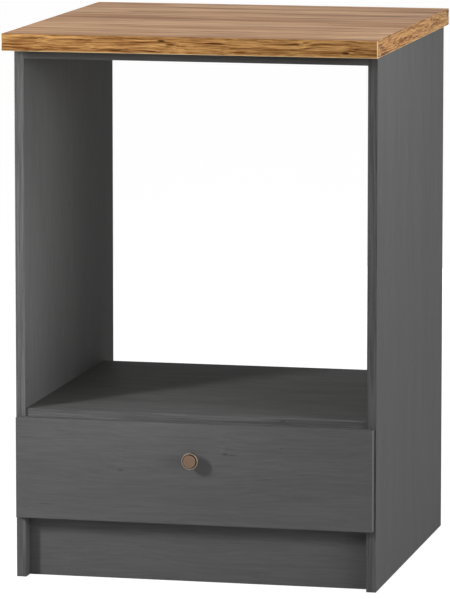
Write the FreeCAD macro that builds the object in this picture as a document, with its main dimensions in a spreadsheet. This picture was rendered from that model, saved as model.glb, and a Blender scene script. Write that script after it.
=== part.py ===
"""Oven base cabinet: floor-standing carcass with worktop, open oven niche and one roller drawer.

Frame: X to the right, Y to the back, Z up, in millimetres. The origin lies on the floor, under the
middle of the worktop. Every piece of the carcass and of the drawer is drawn with its own y = 0 on
the plane of the side panels' front edges, unless its docstring says otherwise.
"""
import FreeCAD
import Part
import math
import os
import re

import Sketcher

Vector = FreeCAD.Vector
Rotation = FreeCAD.Rotation

# Driving sizes, each written once.
SIZES = (
    # carcass boards
    ("carcass_width", 600.0),
    ("side_height", 870.0),
    ("side_depth", 588.0),
    ("board_thickness", 16.0),
    ("arris_radius", 0.8),
    ("plinth_height", 100.0),
    ("plinth_recess", 23.0),
    ("shelf_recess", 4.5),
    ("shelf_reveal", 12.0),
    ("vent_gap", 70.0),
    ("rail_width", 100.0),
    # worktop
    ("worktop_thickness", 28.0),
    ("worktop_side_overhang", 8.5),
    ("worktop_front_overhang", 47.0),
    ("edging_thickness", 1.5),
    ("edging_radius", 1.0),
    # drawer front and box
    ("drawer_front_height", 166.0),
    ("drawer_front_lift", 1.5),
    ("drawer_front_side_gap", 3.5),
    ("drawer_front_gap", 0.5),
    ("drawer_side_thickness", 12.0),
    ("drawer_headroom", 29.0),
    ("drawer_rear_space", 88.0),
    ("drawer_back_drop", 10.0),
    ("drawer_bottom_thickness", 3.0),
    ("groove_margin", 2.2),
    ("groove_depth", 6.0),
    ("groove_play", 0.4),
    # knob
    ("knob_diameter", 27.0),
    ("knob_projection", 24.0),
    ("knob_height", 108.0),
    ("knob_foot_diameter", 15.0),
    ("knob_foot_thickness", 2.5),
    ("knob_neck_diameter", 10.0),
    ("knob_head_thickness", 10.0),
    ("knob_back_bevel", 1.0),
    ("knob_rim_width", 1.9),
    ("knob_rim_setback", 2.8),
    ("knob_rim_radius", 0.9),
    ("knob_groove_width", 1.1),
    ("knob_groove_depth", 1.4),
    ("knob_face_radius", 0.8),
    ("knob_neck_fillet", 2.0),
    ("knob_screw_diameter", 4.0),
    ("knob_screw_engagement", 9.0),
    # drawer runners
    ("steel_thickness", 1.2),
    ("bend_radius", 0.8),
    ("runner_setback", 2.0),
    ("runner_clearance", 4.0),
    ("runner_web_height", 18.0),
    ("runner_foot_width", 10.0),
    ("runner_overlap", 121.0),
    ("channel_lip", 2.0),
    ("lip_play", 0.5),
    ("web_play", 0.9),
    ("side_play", 0.4),
    ("rolling_play", 0.3),
    ("roller_diameter", 20.0),
    ("roller_width", 4.6),
    ("roller_recess", 0.8),
    ("roller_chamfer", 0.5),
    ("roller_end_distance", 12.0),
    ("roller_leg_gap", 2.0),
    ("end_play", 0.1),
    ("rivet_diameter", 5.0),
    ("rivet_shoulder_diameter", 8.0),
    ("rivet_head_height", 0.8),
    ("rivet_play", 0.05),
    ("stop_height", 3.0),
    ("stop_length", 6.0),
    # screws
    ("screw_diameter", 3.5),
    ("screw_length", 13.0),
    ("screw_head_diameter", 7.0),
    ("screw_head_height", 1.6),
    ("back_screw_length", 35.0),
    ("worktop_screw_diameter", 4.0),
    ("worktop_screw_length", 28.0),
    ("worktop_screw_inset", 70.0),
    ("cross_width", 1.0),
    ("runner_screw_inset", 40.0),
    # cam joints of the carcass
    ("joint_inset", 50.0),
    ("dowel_spacing", 32.0),
    ("cam_diameter", 15.0),
    ("cam_cover", 3.5),
    ("cam_setback", 24.0),
    ("cam_passage_play", 0.5),
    ("bolt_thread_diameter", 5.0),
    ("bolt_thread_length", 11.0),
    ("bolt_shank_diameter", 6.5),
    ("bolt_neck_diameter", 4.0),
    ("dowel_diameter", 8.0),
    ("dowel_panel_depth", 11.0),
    ("dowel_board_depth", 21.0),
    ("dowel_chamfer", 1.0),
    # cam joints of the drawer
    ("drawer_joint_inset", 14.0),
    ("drawer_cam_diameter", 12.0),
    ("drawer_cam_cover", 2.5),
    ("drawer_cam_setback", 20.0),
    ("drawer_bolt_thread_diameter", 4.0),
    ("drawer_bolt_thread_length", 10.0),
    ("drawer_bolt_shank_diameter", 5.0),
    ("drawer_bolt_neck_diameter", 3.0),
    ("drawer_dowel_diameter", 6.0),
    ("drawer_dowel_front_depth", 10.0),
    ("drawer_dowel_side_depth", 18.0),
    # fit of every fixed fastener in its hole
    ("fit_play", 0.1),
)

# Sizes that follow from the driving ones.
DERIVED = (
    ("inner_width", "carcass_width - 2 * board_thickness"),
    ("front_plane", "(worktop_front_overhang - side_depth) / 2"),
    ("worktop_width", "carcass_width + 2 * worktop_side_overhang"),
    ("worktop_depth", "side_depth + worktop_front_overhang"),
    ("shelf_depth", "side_depth - shelf_recess - vent_gap"),
    ("base_top", "plinth_height + board_thickness"),
    ("front_bottom", "plinth_height + drawer_front_lift"),
    ("shelf_top", "front_bottom + drawer_front_height + shelf_reveal"),
    ("shelf_bottom", "shelf_top - board_thickness"),
    ("rail_bottom", "side_height - board_thickness"),
    ("drawer_front_width", "carcass_width - 2 * drawer_front_side_gap"),
    # sideways build-up of a runner, from the side panel to the drawer side
    ("roller_start", "steel_thickness + screw_head_height + side_play + rivet_head_height + end_play"),
    ("roller_end", "roller_start + roller_width"),
    ("channel_reach", "roller_end + end_play + side_play + steel_thickness"),
    ("web_outer", "channel_reach + web_play"),
    ("runner_space", "web_outer + steel_thickness"),
    # upward build-up of a runner, from the underside of the drawer runner's foot
    ("roller_radius", "roller_diameter / 2"),
    ("front_roller_z", "runner_web_height - steel_thickness - rolling_play - roller_radius"),
    ("channel_top", "runner_web_height + lip_play + channel_lip"),
    ("channel_floor", "channel_top - roller_diameter - 2 * rolling_play"),
    ("rear_roller_z", "channel_floor + rolling_play + roller_radius"),
    ("runner_level", "base_top + runner_clearance + max(screw_head_height; roller_radius - front_roller_z)"),
    # drawer box
    ("drawer_width", "inner_width - 2 * runner_space"),
    ("drawer_length", "side_depth - drawer_rear_space"),
    ("drawer_floor", "runner_level + steel_thickness"),
    ("drawer_side_height", "shelf_bottom - drawer_headroom - drawer_floor"),
    ("drawer_inner_width", "drawer_width - 2 * drawer_side_thickness"),
    ("drawer_bottom_lift", "screw_length - steel_thickness + groove_margin"),
    ("drawer_bottom_top", "drawer_bottom_lift + drawer_bottom_thickness"),
    ("drawer_back_top", "drawer_side_height - drawer_back_drop"),
    ("drawer_side_mid", "drawer_width / 2 - drawer_side_thickness / 2"),
    ("drawer_dowel_low", "drawer_bottom_top + drawer_joint_inset"),
    ("drawer_dowel_high", "drawer_side_height - drawer_joint_inset"),
    ("drawer_cam_z", "(drawer_dowel_low + drawer_dowel_high) / 2"),
    ("back_screw_low", "drawer_bottom_top + drawer_joint_inset"),
    ("back_screw_high", "drawer_back_top - drawer_joint_inset"),
    ("back_screw_y", "drawer_length - drawer_side_thickness / 2"),
    ("box_lift", "drawer_floor - front_bottom"),
    # lengthways layout of a runner
    ("runner_length", "drawer_length - 2 * runner_setback"),
    ("runner_end", "runner_setback + runner_length"),
    ("front_roller_y", "runner_setback + roller_end_distance"),
    ("rear_roller_y", "runner_end - roller_end_distance"),
    ("drawer_travel", "runner_length - runner_overlap"),
    ("leg_front", "front_roller_y + roller_radius + roller_leg_gap"),
    ("flange_end", "rear_roller_y - roller_radius - roller_leg_gap"),
    ("stop_reach", "sqrt(roller_radius ^ 2 - (roller_radius - stop_height) ^ 2)"),
    ("stop_end", "rear_roller_y - drawer_travel - stop_reach - rolling_play"),
    ("runner_screw_first", "leg_front + runner_screw_inset"),
    ("runner_screw_last", "runner_end - runner_screw_inset"),
    ("runner_screw_middle", "(runner_screw_first + runner_screw_last) / 2"),
    ("foot_screw_first", "runner_setback + runner_screw_inset"),
    ("foot_screw_middle", "(foot_screw_first + runner_screw_last) / 2"),
    # joints between the boards and the side panels
    ("first_bolt_y", "shelf_recess + joint_inset"),
    ("last_bolt_y", "shelf_recess + shelf_depth - joint_inset"),
    ("first_dowel_y", "first_bolt_y + dowel_spacing"),
    ("last_dowel_y", "last_bolt_y - dowel_spacing"),
    ("base_mid", "plinth_height + board_thickness / 2"),
    ("shelf_mid", "shelf_bottom + board_thickness / 2"),
    ("rail_mid", "rail_bottom + board_thickness / 2"),
    ("plinth_mid", "plinth_recess + board_thickness / 2"),
    ("front_rail_bolt_y", "rail_width / 2 - dowel_spacing / 2"),
    ("front_rail_dowel_y", "rail_width / 2 + dowel_spacing / 2"),
    ("rear_rail_bolt_y", "side_depth - rail_width / 2 - dowel_spacing / 2"),
    ("rear_rail_dowel_y", "side_depth - rail_width / 2 + dowel_spacing / 2"),
    ("plinth_bolt_z", "plinth_height / 2 - dowel_spacing / 2"),
    ("plinth_dowel_z", "plinth_height / 2 + dowel_spacing / 2"),
    ("cam_height", "board_thickness - cam_cover"),
    ("bolt_length", "cam_setback + bolt_shank_diameter / 2"),
    ("drawer_cam_height", "drawer_side_thickness - drawer_cam_cover"),
    ("drawer_bolt_length", "drawer_cam_setback + drawer_bolt_shank_diameter / 2"),
    # knob
    ("knob_head_back", "knob_projection - knob_head_thickness"),
    ("knob_rim_round", "min(knob_rim_radius; 0.45 * knob_rim_width; 0.9 * knob_groove_depth)"),
    ("knob_face_round", "min(knob_face_radius; 0.9 * knob_rim_setback)"),
    ("knob_screw_length", "board_thickness + knob_screw_engagement"),
)

# Places of the cam bolts and dowels on the left side panel, as y and z.
BOLTS = (
    ("first_bolt_y", "base_mid"),
    ("last_bolt_y", "base_mid"),
    ("first_bolt_y", "shelf_mid"),
    ("last_bolt_y", "shelf_mid"),
    ("front_rail_bolt_y", "rail_mid"),
    ("rear_rail_bolt_y", "rail_mid"),
    ("plinth_mid", "plinth_bolt_z"),
)
DOWELS = (
    ("first_dowel_y", "base_mid"),
    ("last_dowel_y", "base_mid"),
    ("first_dowel_y", "shelf_mid"),
    ("last_dowel_y", "shelf_mid"),
    ("front_rail_dowel_y", "rail_mid"),
    ("rear_rail_dowel_y", "rail_mid"),
    ("plinth_mid", "plinth_dowel_z"),
)
RUNNER_SCREWS = ("runner_screw_first", "runner_screw_middle", "runner_screw_last")
FOOT_SCREWS = ("foot_screw_first", "foot_screw_middle", "runner_screw_last")
SIDES = (-1, 1)
SIZE_NAMES = {name for name, _ in SIZES}
DERIVED_NAMES = {name for name, _ in DERIVED}
EDGE_TOLERANCE = 1e-4

doc = FreeCAD.newDocument("OvenBaseCabinet")


def bound(text):
    """Returns an expression in which each size name is given its sheet."""
    def with_sheet(match):
        name = match.group(0)
        if name in SIZE_NAMES:
            return "Sizes." + name
        if name in DERIVED_NAMES:
            return "Derived." + name
        return name
    return re.sub(r"[A-Za-z_]\w*", with_sheet, str(text))


def make_sheets():
    """Fills the sheet of driving sizes and the sheet of sizes that follow from them."""
    sizes = doc.addObject("Spreadsheet::Sheet", "Sizes")
    for row, (name, value) in enumerate(SIZES, 1):
        sizes.set(f"A{row}", name)
        sizes.set(f"B{row}", str(value))
        sizes.setAlias(f"B{row}", name)
    doc.recompute()
    derived = doc.addObject("Spreadsheet::Sheet", "Derived")
    for row, (name, formula) in enumerate(DERIVED, 1):
        derived.set(f"A{row}", name)
        derived.set(f"B{row}", "=" + bound(formula))
        derived.setAlias(f"B{row}", name)
    doc.recompute()
    return sizes, derived


sizes_sheet, derived_sheet = make_sheets()


def value_of(name):
    """Returns the present value of a named size."""
    sheet = sizes_sheet if name in SIZE_NAMES else derived_sheet
    return float(getattr(sheet, name))


def place(obj, x="0", y="0", z="0"):
    """Binds where a piece stands."""
    for axis, text in (("x", x), ("y", y), ("z", z)):
        obj.setExpression(f"Placement.Base.{axis}", bound(text))


def new_body(label):
    """Starts a body named after its piece."""
    body = doc.addObject("PartDesign::Body", label)
    body.Label = label
    return body


def new_sketch(body, name, role="XY_Plane", offset="0"):
    """Starts a sketch on one of the body's own planes, moved along the plane's normal."""
    sketch = body.newObject("Sketcher::SketchObject", name)
    plane = next(item for item in body.Origin.OriginFeatures if item.Role == role)
    sketch.AttachmentSupport = [(plane, "")]
    sketch.MapMode = "FlatFace"
    sketch.setExpression("AttachmentOffset.Base.z", bound(offset))
    return sketch


def constrain(sketch, kind, text, *where):
    """Adds a constraint whose value follows an expression."""
    index = sketch.addConstraint(Sketcher.Constraint(kind, *where, 1.0))
    sketch.setExpression(f"Constraints[{index}]", bound(text))


def polygon(sketch, corners):
    """Draws a closed outline through corners given as pairs of expressions."""
    count = len(corners)
    turns = [2 * math.pi * i / count for i in range(count)]
    rough = [Vector(10 * math.cos(turn), 10 * math.sin(turn), 0) for turn in turns]
    lines = []
    for i in range(count):
        lines.append(sketch.addGeometry(Part.LineSegment(rough[i], rough[(i + 1) % count]), False))
    for i in range(count):
        sketch.addConstraint(Sketcher.Constraint("Coincident", lines[i], 2, lines[(i + 1) % count], 1))
    for line, (x, y) in zip(lines, corners):
        constrain(sketch, "DistanceX", x, -1, 1, line, 1)
        constrain(sketch, "DistanceY", y, -1, 1, line, 1)


def rectangle(sketch, x0, y0, x1, y1):
    """Draws a rectangle between two opposite corners."""
    polygon(sketch, ((x0, y0), (x1, y0), (x1, y1), (x0, y1)))


def circle(sketch, x, y, diameter):
    """Draws a circle about a point."""
    start = Vector(1.0 + sketch.GeometryCount, 1.0, 0)
    ring = sketch.addGeometry(Part.Circle(start, Vector(0, 0, 1), 1.0), False)
    constrain(sketch, "Diameter", diameter, ring)
    constrain(sketch, "DistanceX", x, -1, 1, ring, 3)
    constrain(sketch, "DistanceY", y, -1, 1, ring, 3)


def pad(body, sketch, length, backwards=False):
    """Raises a sketch into a solid."""
    feature = body.newObject("PartDesign::Pad", sketch.Name + "_pad")
    feature.Profile = sketch
    feature.setExpression("Length", bound(length))
    feature.Reversed = backwards
    return feature


def pocket(body, sketch, depth, backwards=False):
    """Cuts a sketch into the solid, against the sketch's normal or along it."""
    feature = body.newObject("PartDesign::Pocket", sketch.Name + "_pocket")
    feature.Profile = sketch
    feature.setExpression("Length", bound(depth))
    feature.Reversed = backwards
    return feature


def mirror_features(body, features):
    """Repeats features on the other side of the body's middle plane across X."""
    feature = body.newObject("PartDesign::Mirrored", "other_end")
    feature.Originals = features
    plane = next(item for item in body.Origin.OriginFeatures if item.Role == "YZ_Plane")
    feature.MirrorPlane = (plane, [""])
    body.Tip = feature
    return feature


def turned(body, name, corners, role="XZ_Plane"):
    """Turns an outline of radius and height about the upright axis of its sketch."""
    sketch = new_sketch(body, name, role)
    polygon(sketch, corners)
    feature = body.newObject("PartDesign::Revolution", name + "_turned")
    feature.Profile = sketch
    feature.ReferenceAxis = (sketch, ["V_Axis"])
    feature.Angle = 360.0
    return feature


def round_edges(body, radius, chosen, name):
    """Rounds the edges of a body that a test picks out."""
    doc.recompute()
    base = body.Tip
    names = []
    for i, edge in enumerate(base.Shape.Edges, 1):
        if chosen(edge):
            names.append(f"Edge{i}")
    feature = body.newObject("PartDesign::Fillet", name)
    feature.Base = (base, names)
    feature.setExpression("Radius", bound(radius))
    return feature


def straight_along(axis, **fixed):
    """Returns a test for straight edges along an axis that lie at given coordinates."""
    def test(edge):
        if not isinstance(edge.Curve, Part.Line):
            return False
        direction = edge.tangentAt(edge.FirstParameter)
        if abs(abs(getattr(direction, axis)) - 1) > EDGE_TOLERANCE:
            return False
        middle = edge.CenterOfMass
        return all(
            any(abs(getattr(middle, name) - wanted) < EDGE_TOLERANCE for wanted in values)
            for name, values in fixed.items()
        )
    return test


def any_of(*tests):
    """Returns a test that passes where one of the given tests does."""
    def test(edge):
        return any(single(edge) for single in tests)
    return test


def mirrored_piece(label, source):
    """Makes the right-hand piece out of the left-hand one."""
    piece = doc.addObject("Part::Mirroring", label)
    piece.Source = source
    piece.Base = Vector(0, 0, 0)
    piece.Normal = Vector(1, 0, 0)
    piece.Label = label
    return piece


def group(label, prototype, places):
    """Sets copies of one piece at places given as x, y, z and a rotation."""
    links = []
    for number, (x, y, z, rotation) in enumerate(places, 1):
        link = doc.addObject("App::Link", f"{label}_{number}")
        link.LinkedObject = prototype
        link.Placement = FreeCAD.Placement(Vector(0, 0, 0), rotation)
        place(link, x, y, z)
        links.append(link)
    piece = doc.addObject("Part::Compound", label)
    piece.Links = links
    piece.Label = label
    return piece


def along(x, y, z):
    """Returns the rotation that lays a piece drawn upright along a direction."""
    return Rotation(Vector(0, 0, 1), Vector(x, y, z))


# Fasteners, each drawn upright with z = 0 on the face that it sits against.

def dowel(label, diameter, lower, upper):
    """Draws a wood dowel with chamfered ends, its lower part below z = 0."""
    body = new_body(label)
    radius = f"{diameter} / 2"
    slim = f"{radius} - dowel_chamfer"
    turned(body, label + "_outline", (
        ("0", f"-{lower}"),
        (slim, f"-{lower}"),
        (radius, f"-{lower} + dowel_chamfer"),
        (radius, f"{upper} - dowel_chamfer"),
        (slim, upper),
        ("0", upper),
    ))
    return body


def cam_bolt(label, thread, thread_length, shank, neck, setback, length):
    """Draws a cam bolt: threaded foot below z = 0, shank, neck and head in the cam."""
    body = new_body(label)
    turned(body, label + "_outline", (
        ("0", f"-{thread_length}"),
        (f"{thread} / 2 - dowel_chamfer / 2", f"-{thread_length}"),
        (f"{thread} / 2", f"-{thread_length} + dowel_chamfer"),
        (f"{thread} / 2", "0"),
        (f"{shank} / 2", "0"),
        (f"{shank} / 2", f"{setback} - {shank}"),
        (f"{neck} / 2", f"{setback} - {shank} * 0.8"),
        (f"{neck} / 2", f"{setback} - {shank} * 0.2"),
        (f"{shank} / 2", f"{setback}"),
        (f"{shank} / 2", f"{length}"),
        ("0", f"{length}"),
    ))
    return body


def cross_recess(body, label, width, arm, role, offset, depth, backwards):
    """Cuts a cross for a screwdriver."""
    half = f"{width} / 2"
    sketch = new_sketch(body, label + "_cross", role, offset)
    polygon(sketch, (
        (half, half), (half, arm), (f"-{half}", arm), (f"-{half}", half),
        (f"-({arm})", half), (f"-({arm})", f"-{half}"), (f"-{half}", f"-{half}"), (f"-{half}", f"-({arm})"),
        (half, f"-({arm})"), (half, f"-{half}"), (arm, f"-{half}"), (arm, half),
    ))
    return pocket(body, sketch, depth, backwards)


def cam_lock(label, diameter, height, board, shank):
    """Draws a cam with its open face at z = 0, a passage along x for the bolt and a cross."""
    body = new_body(label)
    outline = new_sketch(body, label + "_outline")
    circle(outline, "0", "0", f"{diameter} - 2 * fit_play")
    pad(body, outline, height)
    passage = new_sketch(body, label + "_passage", "YZ_Plane", f"-{diameter}")
    circle(passage, "0", f"{board} / 2", f"{shank} + 2 * cam_passage_play")
    pocket(body, passage, f"2 * {diameter}", True)
    cross_recess(body, label, "cross_width", f"{diameter} / 4", "XY_Plane", "0", f"{board} / 2 - {shank} / 2 - 2", True)
    return body


def pan_screw(label, diameter, length, head_diameter, head_height):
    """Draws a screw with its pan head below z = 0 and its point up."""
    body = new_body(label)
    radius = f"{diameter} / 2"
    turned(body, label + "_outline", (
        ("0", f"-{head_height}"),
        (f"{head_diameter} / 2 - {head_height} / 2", f"-{head_height}"),
        (f"{head_diameter} / 2", f"-{head_height} / 3"),
        (f"{head_diameter} / 2", "0"),
        (radius, "0"),
        (radius, f"{length} - {diameter}"),
        ("0", length),
    ))
    cross_recess(
        body, label, "cross_width", f"{head_diameter} / 4", "XY_Plane", f"-{head_height}", f"{head_height} * 0.6", True,
    )
    return body


# Carcass.

def side_panel():
    """Draws the left side panel, its outer face at x = 0, drilled from its inner face."""
    body = new_body("left_side_panel")
    outline = new_sketch(body, "side_outline", "YZ_Plane")
    rectangle(outline, "0", "0", "side_depth", "side_height")
    pad(body, outline, "board_thickness")
    inner = value_of("board_thickness")
    test = straight_along("z", x=(0, inner), y=(0, value_of("side_depth")))
    round_edges(body, "arris_radius", test, "side_arrises")
    bolts = new_sketch(body, "side_bolt_holes", "YZ_Plane", "board_thickness")
    for y, z in BOLTS:
        circle(bolts, y, z, "bolt_thread_diameter + 2 * fit_play")
    pocket(body, bolts, "bolt_thread_length + fit_play")
    dowels = new_sketch(body, "side_dowel_holes", "YZ_Plane", "board_thickness")
    for y, z in DOWELS:
        circle(dowels, y, z, "dowel_diameter + 2 * fit_play")
    pocket(body, dowels, "dowel_panel_depth + fit_play")
    screws = new_sketch(body, "side_runner_holes", "YZ_Plane", "board_thickness")
    for y in RUNNER_SCREWS:
        circle(screws, y, "runner_level + rear_roller_z", "screw_diameter + 2 * fit_play")
    pocket(body, screws, "screw_length - steel_thickness + fit_play")
    place(body, "-carcass_width / 2", "front_plane", "0")
    return body


def cross_board(label, y0, y1, bolts, dowels, level):
    """Draws a level board between the side panels, its underside at z = 0, with a cam joint at each end."""
    body = new_body(label)
    outline = new_sketch(body, label + "_outline")
    rectangle(outline, "-inner_width / 2", y0, "inner_width / 2", y1)
    pad(body, outline, "board_thickness")
    round_edges(
        body, "arris_radius",
        lambda edge: straight_along("x")(edge) and edge.CenterOfMass.y < edge_front(body),
        label + "_arrises",
    )
    ends = new_sketch(body, label + "_bolt_holes", "YZ_Plane", "-inner_width / 2")
    for y in bolts:
        circle(ends, y, "board_thickness / 2", "bolt_shank_diameter + 2 * cam_passage_play")
    bolt_holes = pocket(body, ends, "cam_setback", True)
    pegs = new_sketch(body, label + "_dowel_holes", "YZ_Plane", "-inner_width / 2")
    for y in dowels:
        circle(pegs, y, "board_thickness / 2", "dowel_diameter + 2 * fit_play")
    dowel_holes = pocket(body, pegs, "dowel_board_depth + fit_play", True)
    cams = new_sketch(body, label + "_cam_holes")
    for y in bolts:
        circle(cams, "-inner_width / 2 + cam_setback", y, "cam_diameter")
    cam_holes = pocket(body, cams, "cam_height + fit_play", True)
    mirror_features(body, [bolt_holes, dowel_holes, cam_holes])
    place(body, "0", "front_plane", level)
    return body


def edge_front(body):
    """Returns a depth just behind the front edge of a board."""
    return body.Tip.Shape.BoundBox.YMin + EDGE_TOLERANCE


def top_rail(label, y0, y1, bolt, peg):
    """Draws a flat rail under the worktop, with holes for the screws that hold the worktop down."""
    body = cross_board(label, y0, y1, (bolt,), (peg,), "rail_bottom")
    holes = new_sketch(body, label + "_screw_holes")
    for side in SIDES:
        circle(holes, f"{side} * (inner_width / 2 - worktop_screw_inset)", f"({y0} + {y1}) / 2",
               "worktop_screw_diameter + 2 * fit_play")
    pocket(body, holes, "board_thickness", True)
    return body


def plinth_board():
    """Draws the upright plinth between the side panels, its foot on the floor."""
    body = new_body("plinth_board")
    outline = new_sketch(body, "plinth_outline")
    rectangle(outline, "-inner_width / 2", "plinth_recess", "inner_width / 2", "plinth_recess + board_thickness")
    pad(body, outline, "plinth_height")
    ends = new_sketch(body, "plinth_bolt_holes", "YZ_Plane", "-inner_width / 2")
    circle(ends, "plinth_mid", "plinth_bolt_z", "bolt_shank_diameter + 2 * cam_passage_play")
    bolt_holes = pocket(body, ends, "cam_setback", True)
    pegs = new_sketch(body, "plinth_dowel_holes", "YZ_Plane", "-inner_width / 2")
    circle(pegs, "plinth_mid", "plinth_dowel_z", "dowel_diameter + 2 * fit_play")
    dowel_holes = pocket(body, pegs, "dowel_board_depth + fit_play", True)
    cams = new_sketch(body, "plinth_cam_holes", "XZ_Plane", "-plinth_recess - board_thickness")
    circle(cams, "-inner_width / 2 + cam_setback", "plinth_bolt_z", "cam_diameter")
    cam_holes = pocket(body, cams, "cam_height + fit_play", True)
    mirror_features(body, [bolt_holes, dowel_holes, cam_holes])
    place(body, "0", "front_plane", "0")
    return body


def worktop_board():
    """Draws the worktop inside its edging, with pilot holes in its underside."""
    body = new_body("worktop_board")
    outline = new_sketch(body, "worktop_outline")
    rectangle(
        outline,
        "-worktop_width / 2 + edging_thickness", "-worktop_front_overhang + edging_thickness",
        "worktop_width / 2 - edging_thickness", "side_depth",
    )
    pad(body, outline, "worktop_thickness")
    holes = new_sketch(body, "worktop_pilot_holes")
    for side in SIDES:
        for y in ("rail_width / 2", "side_depth - rail_width / 2"):
            circle(holes, f"{side} * (inner_width / 2 - worktop_screw_inset)", y,
                   "worktop_screw_diameter + 2 * fit_play")
    pocket(body, holes, "worktop_screw_length - board_thickness + fit_play", True)
    place(body, "0", "front_plane", "side_height")
    return body


def edging_strip(label, x0, y0, x1, y1, test):
    """Draws one edging strip of the worktop with its outer arrises rounded."""
    body = new_body(label)
    outline = new_sketch(body, label + "_outline")
    rectangle(outline, x0, y0, x1, y1)
    pad(body, outline, "worktop_thickness")
    round_edges(body, "edging_radius", test, label + "_arrises")
    place(body, "0", "front_plane", "side_height")
    return body


def worktop_edging():
    """Draws the three edging strips: the front one runs over the ends of the side ones."""
    half = value_of("worktop_width") / 2
    front = -value_of("worktop_front_overhang")
    edging_strip(
        "worktop_front_edging",
        "-worktop_width / 2", "-worktop_front_overhang",
        "worktop_width / 2", "-worktop_front_overhang + edging_thickness",
        any_of(straight_along("x", y=(front,)), straight_along("z", y=(front,))),
    )
    left = edging_strip(
        "worktop_left_edging",
        "-worktop_width / 2", "-worktop_front_overhang + edging_thickness",
        "-worktop_width / 2 + edging_thickness", "side_depth",
        straight_along("y", x=(-half,)),
    )
    mirrored_piece("worktop_right_edging", left)


def carcass_fasteners():
    """Sets the cams, cam bolts, dowels and worktop screws of the carcass."""
    bolt = cam_bolt(
        "cam_bolt", "bolt_thread_diameter", "bolt_thread_length", "bolt_shank_diameter", "bolt_neck_diameter",
        "cam_setback", "bolt_length",
    )
    cam = cam_lock("cam_lock", "cam_diameter", "cam_height", "board_thickness", "bolt_shank_diameter")
    peg = dowel("wood_dowel", "dowel_diameter", "dowel_panel_depth", "dowel_board_depth")
    screw = pan_screw(
        "worktop_screw", "worktop_screw_diameter", "worktop_screw_length", "screw_head_diameter", "screw_head_height",
    )
    bolts = []
    cams = []
    pegs = []
    for side in SIDES:
        face = f"{side} * inner_width / 2"
        inward = along(-side, 0, 0)
        cam_x = f"{side} * (inner_width / 2 - cam_setback)"
        for y, z in BOLTS:
            bolts.append((face, f"front_plane + {y}", z, inward))
        for y, z in BOLTS[:-1]:
            cams.append((cam_x, f"front_plane + {y}", f"{z} - board_thickness / 2", Rotation()))
        for y, z in BOLTS[-1:]:
            cams.append((cam_x, f"front_plane + {y} + board_thickness / 2", z, along(0, -1, 0)))
        for y, z in DOWELS:
            pegs.append((face, f"front_plane + {y}", z, inward))
    group("cam_bolts", bolt, bolts)
    group("cam_locks", cam, cams)
    group("wood_dowels", peg, pegs)
    places = []
    for side in SIDES:
        x = f"{side} * (inner_width / 2 - worktop_screw_inset)"
        for y in ("rail_width / 2", "side_depth - rail_width / 2"):
            places.append((x, f"front_plane + {y}", "rail_bottom", Rotation()))
    group("worktop_screws", screw, places)


def build_carcass():
    """Draws the fixed boards and what joins them."""
    mirrored_piece("right_side_panel", side_panel())
    across = ("shelf_recess", "shelf_recess + shelf_depth")
    bolts = ("first_bolt_y", "last_bolt_y")
    pegs = ("first_dowel_y", "last_dowel_y")
    cross_board("base_panel", *across, bolts, pegs, "plinth_height")
    cross_board("oven_shelf", *across, bolts, pegs, "shelf_bottom")
    top_rail("front_top_rail", "0", "rail_width", "front_rail_bolt_y", "front_rail_dowel_y")
    top_rail("rear_top_rail", "side_depth - rail_width", "side_depth", "rear_rail_bolt_y", "rear_rail_dowel_y")
    plinth_board()
    worktop_board()
    worktop_edging()
    carcass_fasteners()


# Drawer runners. Left-hand pieces: x = 0 on the side panel's inner face, z = 0 under the drawer runner's foot.

def place_runner(piece):
    """Stands a left-hand runner piece in the cabinet."""
    place(piece, "-inner_width / 2", "front_plane", "runner_level")


def cabinet_runner():
    """Draws the rolled channel that is screwed to the side panel and carries the front roller."""
    body = new_body("left_cabinet_runner")
    profile = new_sketch(body, "channel_profile", "XZ_Plane", "-runner_setback")
    polygon(profile, (
        ("0", "channel_floor - steel_thickness"),
        ("channel_reach", "channel_floor - steel_thickness"),
        ("channel_reach", "channel_floor + channel_lip"),
        ("channel_reach - steel_thickness", "channel_floor + channel_lip"),
        ("channel_reach - steel_thickness", "channel_floor"),
        ("steel_thickness", "channel_floor"),
        ("steel_thickness", "channel_top"),
        ("channel_reach - steel_thickness", "channel_top"),
        ("channel_reach - steel_thickness", "channel_top - channel_lip"),
        ("channel_reach", "channel_top - channel_lip"),
        ("channel_reach", "channel_top + steel_thickness"),
        ("0", "channel_top + steel_thickness"),
    ))
    pad(body, profile, "runner_length", True)
    steel = value_of("steel_thickness")
    reach = value_of("channel_reach")
    low = value_of("channel_floor")
    high = value_of("channel_top")
    inside = straight_along("y", x=(steel,), z=(low, high))
    outside = straight_along("y", x=(0, reach), z=(low - steel, high + steel))
    round_edges(body, "bend_radius", inside, "inner_bends")
    round_edges(body, "bend_radius + steel_thickness", outside, "outer_bends")
    relief = new_sketch(body, "roller_relief", "YZ_Plane", "steel_thickness")
    rectangle(relief, "0", "channel_floor - 2 * steel_thickness", "leg_front", "channel_floor + channel_lip + bend_radius")
    pocket(body, relief, "channel_reach", True)
    stop = new_sketch(body, "track_stop", "XY_Plane", "channel_floor")
    rectangle(stop, "steel_thickness + bend_radius", "stop_end - stop_length",
              "channel_reach - steel_thickness", "stop_end")
    pad(body, stop, "stop_height")
    holes = new_sketch(body, "channel_screw_holes", "YZ_Plane")
    for y in RUNNER_SCREWS:
        circle(holes, y, "rear_roller_z", "screw_diameter + 2 * fit_play")
    pocket(body, holes, "steel_thickness", True)
    axle = new_sketch(body, "channel_rivet_hole", "YZ_Plane")
    circle(axle, "front_roller_y", "front_roller_z", "rivet_diameter + 2 * rivet_play")
    pocket(body, axle, "steel_thickness", True)
    place_runner(body)
    return body


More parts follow.
